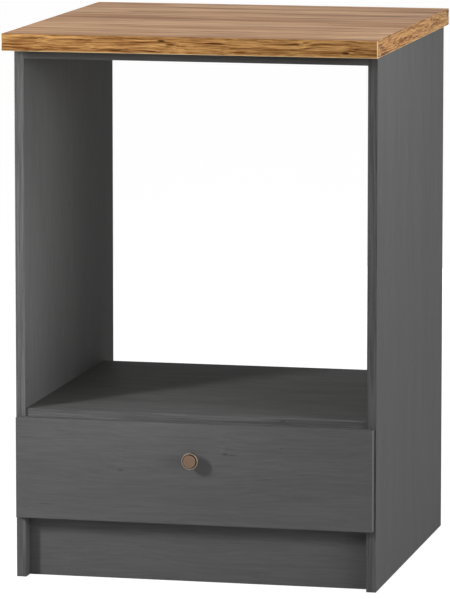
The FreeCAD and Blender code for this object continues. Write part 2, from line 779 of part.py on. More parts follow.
def drawer_runner():
    """Draws the profile under the drawer side: foot, web and the flange that rides on the front roller."""
    body = new_body("left_drawer_runner")
    profile = new_sketch(body, "runner_profile", "XZ_Plane", "-runner_setback")
    polygon(profile, (
        ("web_outer", "0"),
        ("runner_space + runner_foot_width", "0"),
        ("runner_space + runner_foot_width", "steel_thickness"),
        ("runner_space", "steel_thickness"),
        ("runner_space", "runner_web_height"),
        ("roller_start", "runner_web_height"),
        ("roller_start", "runner_web_height - steel_thickness"),
        ("web_outer", "runner_web_height - steel_thickness"),
    ))
    pad(body, profile, "runner_length", True)
    web = value_of("web_outer")
    space = value_of("runner_space")
    top = value_of("runner_web_height")
    steel = value_of("steel_thickness")
    round_edges(body, "bend_radius", straight_along("y", x=(web,), z=(0, top - steel)), "runner_inner_bends")
    round_edges(body, "bend_radius + steel_thickness / 2", straight_along("y", x=(space,), z=(top,)), "runner_top_bend")
    cut = new_sketch(body, "rear_roller_relief", "YZ_Plane", "web_outer")
    rectangle(cut, "flange_end", "runner_web_height - steel_thickness - bend_radius", "runner_end + steel_thickness",
              "runner_web_height + steel_thickness")
    pocket(body, cut, "web_outer")
    holes = new_sketch(body, "foot_screw_holes")
    for y in FOOT_SCREWS:
        circle(holes, "runner_space + drawer_side_thickness / 2", y, "screw_diameter + 2 * fit_play")
    pocket(body, holes, "steel_thickness", True)
    axle = new_sketch(body, "runner_rivet_hole", "YZ_Plane", "web_outer")
    circle(axle, "rear_roller_y", "rear_roller_z", "rivet_diameter + 2 * rivet_play")
    pocket(body, axle, "steel_thickness", True)
    place_runner(body)
    return body


def roller(label):
    """Draws a nylon roller upright about its axle, with a recess in each face."""
    body = new_body(label)
    outer = "roller_radius"
    bore = "rivet_diameter / 2 + rivet_play"
    hub = "rivet_shoulder_diameter / 2 + roller_recess"
    rim = "roller_radius - 3 * roller_recess"
    turned(body, label + "_outline", (
        (bore, "0"),
        (hub, "0"),
        (hub, "roller_recess"),
        (rim, "roller_recess"),
        (rim, "0"),
        (f"{outer} - roller_chamfer", "0"),
        (outer, "roller_chamfer"),
        (outer, "roller_width - roller_chamfer"),
        (f"{outer} - roller_chamfer", "roller_width"),
        (rim, "roller_width"),
        (rim, "roller_width - roller_recess"),
        (hub, "roller_width - roller_recess"),
        (hub, "roller_width"),
        (bore, "roller_width"),
    ))
    return body


def axle_rivet(label, shoulder_length):
    """Draws a roller's rivet upright: tail in the steel below z = 0, shoulder, shank and head."""
    body = new_body(label)
    shank = "rivet_diameter / 2"
    shoulder = "rivet_shoulder_diameter / 2"
    seat = f"({shoulder_length})"
    under_head = f"{seat} + roller_width + 2 * end_play"
    turned(body, label + "_outline", (
        ("0", "-steel_thickness"),
        (shank, "-steel_thickness"),
        (shank, "0"),
        (shoulder, "0"),
        (shoulder, seat),
        (shank, seat),
        (shank, under_head),
        (shoulder, under_head),
        (shoulder, f"{under_head} + rivet_head_height / 2"),
        (f"{shoulder} - rivet_head_height / 2", f"{under_head} + rivet_head_height"),
        ("0", f"{under_head} + rivet_head_height"),
    ))
    return body


def build_runners():
    """Draws the runners on both sides, with their rollers, rivets and screws."""
    mirrored_piece("right_cabinet_runner", cabinet_runner())
    mirrored_piece("right_drawer_runner", drawer_runner())
    front = roller("left_front_roller")
    front.Placement = FreeCAD.Placement(Vector(0, 0, 0), along(1, 0, 0))
    place(front, "-inner_width / 2 + roller_start", "front_plane + front_roller_y", "runner_level + front_roller_z")
    mirrored_piece("right_front_roller", front)
    rear = roller("left_rear_roller")
    rear.Placement = FreeCAD.Placement(Vector(0, 0, 0), along(1, 0, 0))
    place(rear, "-inner_width / 2 + roller_start", "front_plane + rear_roller_y", "runner_level + rear_roller_z")
    mirrored_piece("right_rear_roller", rear)
    front_rivet = axle_rivet("front_rivet", "roller_start - end_play - steel_thickness")
    rear_rivet = axle_rivet("rear_rivet", "web_outer - roller_end - end_play")
    fronts = []
    rears = []
    screws = []
    foot_screws = []
    screw = pan_screw("runner_screw", "screw_diameter", "screw_length", "screw_head_diameter", "screw_head_height")
    for side in SIDES:
        fronts.append((
            f"{side} * (inner_width / 2 - steel_thickness)", "front_plane + front_roller_y",
            "runner_level + front_roller_z", along(-side, 0, 0),
        ))
        rears.append((
            f"{side} * (inner_width / 2 - web_outer)", "front_plane + rear_roller_y",
            "runner_level + rear_roller_z", along(side, 0, 0),
        ))
        for y in RUNNER_SCREWS:
            screws.append((
                f"{side} * (inner_width / 2 - steel_thickness)", f"front_plane + {y}",
                "runner_level + rear_roller_z", along(side, 0, 0),
            ))
        for y in FOOT_SCREWS:
            foot_screws.append((
                f"{side} * drawer_side_mid", f"front_plane + {y}", "runner_level", Rotation(),
            ))
    group("cabinet_roller_rivets", front_rivet, fronts)
    group("drawer_roller_rivets", rear_rivet, rears)
    group("cabinet_runner_screws", screw, screws)
    group("drawer_runner_screws", screw, foot_screws)


# Drawer. Each piece: y = 0 on the back face of the drawer front.

def place_drawer(piece, x, z):
    """Stands a drawer piece with the drawer shut."""
    place(piece, x, "front_plane - drawer_front_gap", z)


def drawer_front():
    """Draws the drawer front, its back face at y = 0 and its lower edge at z = 0."""
    body = new_body("drawer_front")
    outline = new_sketch(body, "front_outline", "XZ_Plane")
    rectangle(outline, "-drawer_front_width / 2", "0", "drawer_front_width / 2", "drawer_front_height")
    pad(body, outline, "board_thickness")
    face = -value_of("board_thickness")
    test = any_of(straight_along("x", y=(face,)), straight_along("z", y=(face,)))
    round_edges(body, "arris_radius", test, "front_arrises")
    groove = new_sketch(body, "front_groove", "XZ_Plane")
    rectangle(
        groove,
        "-drawer_inner_width / 2 - groove_depth", "box_lift + drawer_bottom_lift",
        "drawer_inner_width / 2 + groove_depth", "box_lift + drawer_bottom_top + groove_play",
    )
    pocket(body, groove, "groove_depth", True)
    bolts = new_sketch(body, "front_bolt_holes", "XZ_Plane")
    pegs = new_sketch(body, "front_dowel_holes", "XZ_Plane")
    for side in SIDES:
        x = f"{side} * drawer_side_mid"
        circle(bolts, x, "box_lift + drawer_cam_z", "drawer_bolt_thread_diameter + 2 * fit_play")
        for z in ("drawer_dowel_low", "drawer_dowel_high"):
            circle(pegs, x, f"box_lift + {z}", "drawer_dowel_diameter + 2 * fit_play")
    pocket(body, bolts, "drawer_bolt_thread_length + fit_play", True)
    pocket(body, pegs, "drawer_dowel_front_depth + fit_play", True)
    hole = new_sketch(body, "knob_hole", "XZ_Plane")
    circle(hole, "0", "knob_height", "knob_screw_diameter + 2 * fit_play")
    pocket(body, hole, "board_thickness", True)
    place_drawer(body, "0", "front_bottom")
    return body


def drawer_side():
    """Draws the left drawer side, its outer face at x = 0 and its lower edge at z = 0."""
    body = new_body("drawer_left_side")
    outline = new_sketch(body, "drawer_side_outline", "YZ_Plane")
    rectangle(outline, "0", "0", "drawer_length", "drawer_side_height")
    pad(body, outline, "drawer_side_thickness")
    thickness = value_of("drawer_side_thickness")
    test = straight_along("y", x=(0, thickness), z=(value_of("drawer_side_height"),))
    round_edges(body, "arris_radius", test, "drawer_side_arrises")
    groove = new_sketch(body, "drawer_side_groove", "YZ_Plane", "drawer_side_thickness")
    rectangle(groove, "0", "drawer_bottom_lift", "drawer_length", "drawer_bottom_top + groove_play")
    pocket(body, groove, "groove_depth")
    cam = new_sketch(body, "drawer_side_cam_hole", "YZ_Plane", "drawer_side_thickness")
    circle(cam, "drawer_cam_setback", "drawer_cam_z", "drawer_cam_diameter")
    pocket(body, cam, "drawer_cam_height + fit_play")
    bolt = new_sketch(body, "drawer_side_bolt_hole", "XZ_Plane")
    circle(bolt, "drawer_side_thickness / 2", "drawer_cam_z", "drawer_bolt_shank_diameter + 2 * cam_passage_play")
    pocket(body, bolt, "drawer_cam_setback")
    pegs = new_sketch(body, "drawer_side_dowel_holes", "XZ_Plane")
    for z in ("drawer_dowel_low", "drawer_dowel_high"):
        circle(pegs, "drawer_side_thickness / 2", z, "drawer_dowel_diameter + 2 * fit_play")
    pocket(body, pegs, "drawer_dowel_side_depth + fit_play")
    holes = new_sketch(body, "drawer_side_back_holes", "YZ_Plane")
    for z in ("back_screw_low", "back_screw_high"):
        circle(holes, "back_screw_y", z, "screw_diameter + 2 * fit_play")
    pocket(body, holes, "drawer_side_thickness", True)
    feet = new_sketch(body, "drawer_side_foot_holes")
    for y in FOOT_SCREWS:
        circle(feet, "drawer_side_thickness / 2", f"{y} + drawer_front_gap", "screw_diameter + 2 * fit_play")
    pocket(body, feet, "screw_length - steel_thickness + fit_play", True)
    place_drawer(body, "-drawer_width / 2", "drawer_floor")
    return body


def drawer_back():
    """Draws the drawer back, which stands on the drawer bottom between the sides."""
    body = new_body("drawer_back")
    outline = new_sketch(body, "back_outline")
    rectangle(
        outline,
        "-drawer_inner_width / 2", "drawer_length - drawer_side_thickness",
        "drawer_inner_width / 2", "drawer_length",
    )
    pad(body, outline, "drawer_back_top - drawer_bottom_top")
    ends = new_sketch(body, "back_screw_holes", "YZ_Plane", "-drawer_inner_width / 2")
    for z in ("back_screw_low", "back_screw_high"):
        circle(ends, "back_screw_y", f"{z} - drawer_bottom_top", "screw_diameter + 2 * fit_play")
    holes = pocket(body, ends, "back_screw_length - drawer_side_thickness + fit_play", True)
    mirror_features(body, [holes])
    place_drawer(body, "0", "drawer_floor + drawer_bottom_top")
    return body


def drawer_bottom():
    """Draws the hardboard bottom, which lies in the grooves of the sides and of the front."""
    body = new_body("drawer_bottom")
    outline = new_sketch(body, "bottom_outline")
    rectangle(
        outline,
        "-drawer_inner_width / 2 - groove_depth + groove_play", "-groove_depth + groove_play",
        "drawer_inner_width / 2 + groove_depth - groove_play", "drawer_length",
    )
    pad(body, outline, "drawer_bottom_thickness")
    place_drawer(body, "0", "drawer_floor + drawer_bottom_lift")
    return body


def knob():
    """Draws the turned knob about the y axis, its foot on y = 0 and its raised face towards -y."""
    body = new_body("knob")
    outer = "knob_diameter / 2"
    neck = "knob_neck_diameter / 2"
    foot = "knob_foot_diameter / 2"
    bore = "knob_screw_diameter / 2 + fit_play"
    rim = "-knob_projection + knob_rim_setback"
    groove = f"{rim} + knob_groove_depth"
    inner = f"{outer} - knob_rim_width"
    face = f"{inner} - knob_groove_width"
    turned(body, "knob_outline", (
        (bore, "0"),
        (foot, "0"),
        (foot, "-knob_foot_thickness"),
        (neck, "-knob_foot_thickness - (knob_foot_diameter - knob_neck_diameter) / 2"),
        (neck, "-knob_head_back + 0.4 * knob_head_thickness"),
        (f"{outer} - knob_back_bevel", "-knob_head_back"),
        (outer, "-knob_head_back - knob_back_bevel"),
        (outer, rim),
        (inner, rim),
        (inner, groove),
        (face, groove),
        (face, "-knob_projection"),
        ("0", "-knob_projection"),
        ("0", "-knob_screw_engagement - fit_play"),
        (bore, "-knob_screw_engagement - fit_play"),
    ), "XY_Plane")
    radius = value_of("knob_neck_diameter") / 2
    front = -value_of("knob_projection")
    crest = front + value_of("knob_rim_setback")

    def on_neck(edge):
        return isinstance(edge.Curve, Part.Circle) and abs(edge.Curve.Radius - radius) < EDGE_TOLERANCE

    def on_rim(edge):
        return isinstance(edge.Curve, Part.Circle) and abs(edge.Curve.Center.y - crest) < EDGE_TOLERANCE

    def on_face(edge):
        return isinstance(edge.Curve, Part.Circle) and abs(edge.Curve.Center.y - front) < EDGE_TOLERANCE

    round_edges(body, "knob_neck_fillet", on_neck, "neck_fillets")
    round_edges(body, "knob_rim_round", on_rim, "rim_fillets")
    round_edges(body, "knob_face_round", on_face, "face_fillet")
    place(body, "0", "front_plane - drawer_front_gap - board_thickness", "front_bottom + knob_height")
    return body


def drawer_fasteners():
    """Sets the cams, cam bolts, dowels and screws of the drawer."""
    bolt = cam_bolt(
        "drawer_cam_bolt", "drawer_bolt_thread_diameter", "drawer_bolt_thread_length",
        "drawer_bolt_shank_diameter", "drawer_bolt_neck_diameter", "drawer_cam_setback", "drawer_bolt_length",
    )
    cam = cam_lock(
        "drawer_cam_lock", "drawer_cam_diameter", "drawer_cam_height", "drawer_side_thickness",
        "drawer_bolt_shank_diameter",
    )
    peg = dowel("drawer_dowel", "drawer_dowel_diameter", "drawer_dowel_front_depth", "drawer_dowel_side_depth")
    screw = pan_screw(
        "drawer_back_screw", "screw_diameter", "back_screw_length", "screw_head_diameter", "screw_head_height",
    )
    front = "front_plane - drawer_front_gap"
    bolts = []
    cams = []
    pegs = []
    screws = []
    for side in SIDES:
        x = f"{side} * drawer_side_mid"
        bolts.append((x, front, "drawer_floor + drawer_cam_z", along(0, 1, 0)))
        upright = Rotation(Vector(0, 1, 0), Vector(0, 0, 1), Vector(side, 0, 0), "ZXY")
        cams.append((
            f"{side} * drawer_inner_width / 2", f"{front} + drawer_cam_setback", "drawer_floor + drawer_cam_z", upright,
        ))
        for z in ("drawer_dowel_low", "drawer_dowel_high"):
            pegs.append((x, front, f"drawer_floor + {z}", along(0, 1, 0)))
        for z in ("back_screw_low", "back_screw_high"):
            screws.append((
                f"{side} * drawer_width / 2", f"{front} + back_screw_y", f"drawer_floor + {z}", along(-side, 0, 0),
            ))
    group("drawer_cam_bolts", bolt, bolts)
    group("drawer_cam_locks", cam, cams)
    group("drawer_dowels", peg, pegs)
    group("drawer_back_screws", screw, screws)
    knob_screw = pan_screw(
        "knob_fixing", "knob_screw_diameter", "knob_screw_length", "screw_head_diameter", "screw_head_height",
    )
    group("knob_screw", knob_screw, [("0", front, "front_bottom + knob_height", along(0, -1, 0))])


def build_drawer():
    """Draws the drawer box, its front and its knob."""
    drawer_front()
    mirrored_piece("drawer_right_side", drawer_side())
    drawer_back()
    drawer_bottom()
    knob()
    drawer_fasteners()


NODES = (
    "worktop_board", "worktop_front_edging", "worktop_left_edging", "worktop_right_edging",
    "left_side_panel", "right_side_panel", "base_panel", "oven_shelf", "front_top_rail", "rear_top_rail",
    "plinth_board", "cam_bolts", "cam_locks", "wood_dowels", "worktop_screws",
    "left_cabinet_runner", "right_cabinet_runner", "cabinet_roller_rivets", "cabinet_runner_screws",
    "drawer_front", "drawer_left_side", "drawer_right_side", "drawer_back", "drawer_bottom",
    "knob", "knob_screw", "drawer_cam_bolts", "drawer_cam_locks", "drawer_dowels", "drawer_back_screws",
    "left_drawer_runner", "right_drawer_runner", "drawer_roller_rivets", "drawer_runner_screws",
    "left_front_roller", "right_front_roller", "left_rear_roller", "right_rear_roller",
)


def check_document():
    """Stops where a feature failed to build."""
    for obj in doc.Objects:
        if "Invalid" in obj.State or "Error" in obj.State:
            raise RuntimeError(f"{obj.Label} did not build: {obj.State}")


def write_nodes():
    """Writes each piece to its own file."""
    os.makedirs("parts", exist_ok=True)
    for label in NODES:
        piece = doc.getObjectsByLabel(label)[0]
        shape = piece.Shape
        if shape.isNull() or not shape.isValid() or not shape.Solids:
            raise RuntimeError(f"{label} has no sound solid")
        shape.exportStep(f"parts/{label}.step")


build_carcass()
build_runners()
build_drawer()
doc.recompute()
check_document()
write_nodes()
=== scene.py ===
"""Looks of an oven base cabinet: graphite carcass, oak worktop, open niche and a drawer on roller runners."""
import logging
import math
from dataclasses import dataclass, replace
from enum import Enum
from typing import Any, Sequence

import bmesh
import bpy
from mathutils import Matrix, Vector


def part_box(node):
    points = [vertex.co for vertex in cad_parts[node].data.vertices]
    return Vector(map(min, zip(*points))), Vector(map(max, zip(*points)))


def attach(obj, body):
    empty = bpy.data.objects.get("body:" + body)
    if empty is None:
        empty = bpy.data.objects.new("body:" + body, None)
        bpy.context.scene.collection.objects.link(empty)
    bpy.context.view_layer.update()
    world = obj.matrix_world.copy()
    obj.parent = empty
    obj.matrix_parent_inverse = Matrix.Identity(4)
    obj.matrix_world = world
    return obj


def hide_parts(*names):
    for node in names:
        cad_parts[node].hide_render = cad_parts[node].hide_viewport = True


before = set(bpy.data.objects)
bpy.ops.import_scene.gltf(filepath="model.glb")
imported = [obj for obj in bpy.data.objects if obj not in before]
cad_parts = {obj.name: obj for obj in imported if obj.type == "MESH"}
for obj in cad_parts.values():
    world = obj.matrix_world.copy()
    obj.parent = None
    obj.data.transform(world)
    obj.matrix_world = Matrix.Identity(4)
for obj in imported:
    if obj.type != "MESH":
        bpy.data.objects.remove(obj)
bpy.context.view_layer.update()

LOG = logging.getLogger("oven_cabinet")
MM = 0.001
PICTURE_HEIGHT = 599

Socket = bpy.types.NodeSocket
Tree = bpy.types.NodeTree
Colour = tuple[float, float, float, float]
Point = tuple[float, float, float]


class Grain(Enum):
    """The way a wood figure runs, as a unit vector of the cabinet's frame."""

    ALONG_FRONT = (1.0, 0.0, 0.0)
    FRONT_TO_BACK = (0.0, 1.0, 0.0)
    UPRIGHT = (0.0, 0.0, 1.0)

    @property
    def across(self) -> Point:
        """Sum of the two directions across the grain."""
        return tuple(1.0 - part for part in self.value)

    def scale(self, length: float, width: float) -> Point:
        """Works out how a pattern is stretched along the grain.

        Args:
            length: size of one feature along the grain, in millimetres.
            width: size of one feature across the grain, in millimetres.

        Returns:
            Features per metre along X, Y and Z.
        """
        return tuple(1.0 / (MM * (length if part else width)) for part in self.value)


class Side(Enum):
    """A side of a board, by its outward direction."""

    LEFT = (-1.0, 0.0, 0.0)
    RIGHT = (1.0, 0.0, 0.0)
    FRONT = (0.0, -1.0, 0.0)
    REAR = (0.0, 1.0, 0.0)
    BELOW = (0.0, 0.0, -1.0)


def linear(code: str) -> Colour:
    """Turns an sRGB hex colour into linear light by the curve of the sRGB standard.

    Args:
        code: a colour such as "#5a5a5a".

    Returns:
        Red, green, blue and alpha.
    """
    channels = [int(code[start:start + 2], 16) / 255 for start in (1, 3, 5)]
    light = [c / 12.92 if c <= 0.04045 else ((c + 0.055) / 1.055) ** 2.4 for c in channels]
    return (*light, 1.0)


def add_node(
    tree: Tree, kind: str, sockets: dict[Any, Any] | None = None, **settings: Any,
) -> bpy.types.Node:
    """Adds a shader node with its settings, values and links.

    Args:
        tree: the node tree that gets the node.
        kind: the node's type name.
        sockets: values by input name or number; an output socket given as a value is linked.
        settings: the node's own properties.

    Returns:
        The new node.
    """
    node = tree.nodes.new(kind)
    for key, value in settings.items():
        setattr(node, key, value)
    for key, value in (sockets or {}).items():
        if isinstance(value, Socket):
            tree.links.new(value, node.inputs[key])
        else:
            node.inputs[key].default_value = value
    return node


# Numbers of the Mix node's colour sockets, which share their names with its other kinds.
MIX_FIRST = 6
MIX_SECOND = 7
MIX_RESULT = 2


class Finish:
    """A finish whose material is made once and shared by all the pieces that wear it."""

    name: str
    slot: str

    def shade(self, tree: Tree) -> Socket:
        """Builds the nodes of the finish and returns the shader's output."""
        raise NotImplementedError

    def ramp(self, tree: Tree, value: Socket, start: float, end: float, top: float = 1.0) -> Socket:
        """Turns a value into a smooth mask.

        Args:
            tree: the material's nodes.
            value: what the mask depends on.
            start: the value up to which the mask is 0.
            end: the value from which the mask is full.
            top: the full mask.

        Returns:
            The mask.
        """
        rise = add_node(tree, "ShaderNodeMapRange", {
            "Value": value,
            "From Min": start,
            "From Max": end,
            "To Max": top,
        }, interpolation_type="SMOOTHSTEP")
        return rise.outputs[0]

    def blend(self, tree: Tree, share: Socket, first: str | Socket, second: str | Socket) -> Socket:
        """Mixes two colours, given as hex codes or sockets.

        Args:
            tree: the material's nodes.
            share: how much of the second colour shows.
            first: the colour where the share is 0.
            second: the colour where the share is 1.

        Returns:
            The mixed colour.
        """
        first, second = [linear(c) if isinstance(c, str) else c for c in (first, second)]
        mixed = add_node(tree, "ShaderNodeMix", {
            "Factor": share,
            MIX_FIRST: first,
            MIX_SECOND: second,
        }, data_type="RGBA")
        return mixed.outputs[MIX_RESULT]

    def material(self) -> bpy.types.Material:
        """Makes the material, or finds it if another piece has it already.

        Returns:
            The material.
        """
        made = bpy.data.materials.get(self.name)
        if made is None:
            made = bpy.data.materials.new(self.name)
            made.use_nodes = True
            made.node_tree.nodes.clear()
            surface = self.shade(made.node_tree)
            add_node(made.node_tree, "ShaderNodeOutputMaterial", {"Surface": surface})
        return made


@dataclass(frozen=True)
class Streaks:
    """One layer of a wood figure.

    Attributes:
        length, width: size of a streak along and across the grain, in millimetres.
        spread: how far the noise strays from a half before a streak is fully light or dark.
        share: weight of the layer among the others, from 0 to 1.
    """

    length: float
    width: float
    spread: float
    share: float


@dataclass(frozen=True)
class Figure:
    """Sizes of a wood figure, in millimetres.

    Attributes:
        layers: streaks from broad to fine.
        sway_length, sway_width, sway_height: how the grain wanders.
        crack_length, crack_width: size of a crack in the wood.
        crack_level: noise level where a crack opens; a higher one leaves fewer.
        knot_spacing, knot_size: spacing of the spots where a knot may be, and half its width.
        knot_level: share of the spots that stay without a knot.
        relief: depth of the pressed texture.
    """

    layers: tuple[Streaks, ...]
    sway_length: float
    sway_width: float
    sway_height: float
    crack_length: float
    crack_width: float
    crack_level: float
    knot_spacing: float
    knot_size: float
    knot_level: float
    relief: float


# Octaves of noise: few where the grain wanders or splits and in grit, more in streaks and soft patches.
FEW_OCTAVES = 2.0
MORE_OCTAVES = 3.0
# Weight of each octave of a wood figure beside the coarser one before it.
OCTAVE_WEIGHT = 0.6
# The middle of the noise's range.
NOISE_MIDDLE = 0.5
# A knot's length over its width, the share of its radius that is fully dark, and the range of a spot's random
# value over which it turns into a knot.
KNOT_STRETCH = 3.0
KNOT_HEART = 0.3
KNOT_RANGE = 0.1
# Noise levels, from the one where a crack opens: its halo starts, its halo is full, the crack is fully dark.
HALO_START = -0.10
HALO_END = 0.02
CRACK_END = 0.05
# How much of the halo's colour shows.
HALO_SHARE = 0.7
# Where masks on the normal start and end: it looks to a side, it looks along no axis, it doesn't look up.
FACING_SIDE = (0.7, 0.8)
OFF_AXIS = (0.995, 0.95)
NOT_UPWARDS = (0.3, 0.1)
# Heights of late wood, cracks and knots, as shares of the pressed relief.
STREAK_HEIGHT = -1.0
CRACK_HEIGHT = -0.8
KNOT_HEIGHT = -0.6
# Strength of the bump that shows a decor's relief and a coat's grit.
DECOR_BUMP = 0.5
GRIT_BUMP = 0.4
# How far grit moves a coat's roughness to either side.
GRIT_WEAR = 0.06
# Chips in the core of a board: their size in millimetres, and brown and straw.
CHIP_SIZE = 2.4
CHIP_BROWN = "#8d6b45"
CHIP_STRAW = "#cfae82"
# Lines printed on an edge band: long, fine and straight.
BAND_LINES = (
    Streaks(length=200.0, width=3.0, spread=0.08, share=0.55),
    Streaks(length=70.0, width=1.8, spread=0.08, share=0.45),
)


@dataclass(frozen=True)
class WoodDecor(Finish):
    """A printed wood decor pressed with the same figure, on a chipboard core that shows on bare sides.

    Attributes:
        name: the material's name.
        slot: the record's slot that the decor belongs to.
        grain: the way the figure runs.
        figure: sizes of the figure.
        light, dark: colours of early and late wood.
        halo, crack, knot: colours beside a crack, in it and of a knot.
        roughness: of the pressed resin over early wood.
        gloss: specular level of the resin.
        pores: roughness in the pressed pores of late wood, if it differs.
        banded: sides with an edge band, whose print has its own straight lines.
        band_light, band_dark: colours of the bands' print.
        bare: sides where the core shows.
        milled_and_highlight: colour of arrises that are cut through the print, if they are; it is paler than
            a cut edge alone, as a painted highlight.
        shift: moves the figure, so that boards differ.
    """

    name: str
    slot: str
    grain: Grain
    figure: Figure
    light: str
    dark: str
    halo: str
    crack: str
    knot: str
    roughness: float
    gloss: float
    pores: float = 0.0
    banded: tuple[Side, ...] = ()
    band_light: str = ""
    band_dark: str = ""
    bare: tuple[Side, ...] = ()
    milled_and_highlight: str = ""
    shift: float = 0.0

    def stretched(self, tree: Tree, length: float, width: float, place: Socket) -> Socket:
        """Stretches the coordinates along the grain and moves them to the board's place in the print.

        Args:
            tree: the material's nodes.
            length: size of a feature along the grain, in millimetres.
            width: size of a feature across the grain, in millimetres.
            place: the coordinates.

        Returns:
            Coordinates in which a feature has a size of 1.
        """
        mapped = add_node(tree, "ShaderNodeMapping", {
            "Vector": place,
            "Location": (self.shift, self.shift, self.shift),
            "Scale": self.grain.scale(length, width),
        })
        return mapped.outputs[0]

    def noise(self, tree: Tree, length: float, width: float, octaves: float, place: Socket) -> Socket:
        """Draws cloudy noise stretched along the grain.

        Args:
            tree: the material's nodes.
            length: size of a cloud along the grain, in millimetres.
            width: size of a cloud across the grain, in millimetres.
            octaves: layers of finer noise.
            place: the coordinates.

        Returns:
            Values around a half.
        """
        clouds = add_node(tree, "ShaderNodeTexNoise", {
            "Vector": self.stretched(tree, length, width, place),
            "Scale": 1.0,
            "Detail": octaves,
            "Roughness": OCTAVE_WEIGHT,
        })
        return clouds.outputs[0]

    def sum_of(self, tree: Tree, parts: Sequence[tuple[Socket, float]]) -> Socket:
        """Adds up values by their weights.

        Args:
            tree: the material's nodes.
            parts: each value with its weight.

        Returns:
            The sum.
        """
        total: Socket | float = 0.0
        for value, weight in parts:
            node = add_node(tree, "ShaderNodeMath", {0: value, 1: weight, 2: total}, operation="MULTIPLY_ADD")
            total = node.outputs[0]
        return total

    def swayed(self, tree: Tree, place: Socket) -> Socket:
        """Lets the grain wander sideways along its length.

        Args:
            tree: the material's nodes.
            place: the coordinates.

        Returns:
            The moved coordinates.
        """
        shape = self.figure
        wander = self.noise(tree, shape.sway_length, shape.sway_width, FEW_OCTAVES, place)
        sideways = add_node(tree, "ShaderNodeVectorMath", {
            0: self.grain.across,
            "Scale": wander,
        }, operation="SCALE")
        moved = add_node(tree, "ShaderNodeVectorMath", {
            0: sideways.outputs[0],
            1: (2.0 * shape.sway_height * MM,) * 3,
            2: place,
        }, operation="MULTIPLY_ADD")
        return moved.outputs[0]

    def darkness(self, tree: Tree, place: Socket, layers: Sequence[Streaks]) -> Socket:
        """Adds up layers of streaks.

        Args:
            tree: the material's nodes.
            place: the coordinates.
            layers: the streaks.

        Returns:
            0 for early wood up to about 1 for late wood.
        """
        parts = []
        for layer in layers:
            clouds = self.noise(tree, layer.length, layer.width, MORE_OCTAVES, place)
            streaks = self.ramp(tree, clouds, NOISE_MIDDLE - layer.spread, NOISE_MIDDLE + layer.spread)
            parts.append((streaks, layer.share))
        return self.sum_of(tree, parts)

    def knots(self, tree: Tree, place: Socket) -> Socket:
        """Scatters small oval knots.

        Args:
            tree: the material's nodes.
            place: the coordinates.

        Returns:
            A mask of the knots.
        """
        shape = self.figure
        oval = self.stretched(tree, shape.knot_spacing * KNOT_STRETCH, shape.knot_spacing, place)
        spots = add_node(tree, "ShaderNodeTexVoronoi", {"Vector": oval, "Scale": 1.0})
        reach = shape.knot_size / shape.knot_spacing
        core = self.ramp(tree, spots.outputs["Distance"], reach, reach * KNOT_HEART)
        chosen = add_node(tree, "ShaderNodeSeparateColor", {0: spots.outputs["Color"]})
        kept = self.ramp(tree, chosen.outputs[0], shape.knot_level, shape.knot_level + KNOT_RANGE)
        marks = add_node(tree, "ShaderNodeMath", {0: core, 1: kept}, operation="MULTIPLY")
        return marks.outputs[0]

    def facing(self, tree: Tree, normal: Socket, side: Side) -> Socket:
        """Marks the faces that look to a side."""
        turned = add_node(tree, "ShaderNodeVectorMath", {0: normal, 1: side.value}, operation="DOT_PRODUCT")
        return self.ramp(tree, turned.outputs["Value"], *FACING_SIDE)

    def rounded(self, tree: Tree, normal: Socket) -> Socket:
        """Marks the rounded lower and upright arrises, which look along none of the three axes.

        Args:
            tree: the material's nodes.
            normal: the way the surface looks.

        Returns:
            A mask of the arrises.
        """
        size = add_node(tree, "ShaderNodeVectorMath", {0: normal}, operation="ABSOLUTE")
        parts = add_node(tree, "ShaderNodeSeparateXYZ", {0: size.outputs[0]})
        largest = parts.outputs[0]
        for other in parts.outputs[1:]:
            larger = add_node(tree, "ShaderNodeMath", {0: largest, 1: other}, operation="MAXIMUM")
            largest = larger.outputs[0]
        off_axis = self.ramp(tree, largest, *OFF_AXIS)
        upwards = add_node(tree, "ShaderNodeSeparateXYZ", {0: normal}).outputs[2]
        lower = self.ramp(tree, upwards, *NOT_UPWARDS)
        return add_node(tree, "ShaderNodeMath", {0: off_axis, 1: lower}, operation="MULTIPLY").outputs[0]

    def core(self, tree: Tree, place: Socket) -> Socket:
        """Draws the pressed chips of a cut board: flakes of a few millimetres in straw and brown.

        Args:
            tree: the material's nodes.
            place: the coordinates.

        Returns:
            The colour of the chips.
        """
        flakes = add_node(tree, "ShaderNodeTexVoronoi", {"Vector": place, "Scale": 1.0 / (CHIP_SIZE * MM)})
        tint = add_node(tree, "ShaderNodeSeparateColor", {0: flakes.outputs["Color"]})
        return self.blend(tree, tint.outputs[0], CHIP_BROWN, CHIP_STRAW)

    def dulled(self, tree: Tree, darkness: Socket) -> Socket:
        """Makes the late wood rougher than the early wood.

        Args:
            tree: the material's nodes.
            darkness: 0 for early wood and 1 for late wood.

        Returns:
            The roughness.
        """
        spread = add_node(tree, "ShaderNodeMapRange", {
            "Value": darkness,
            "To Min": self.roughness,
            "To Max": self.pores,
        })
        return spread.outputs[0]

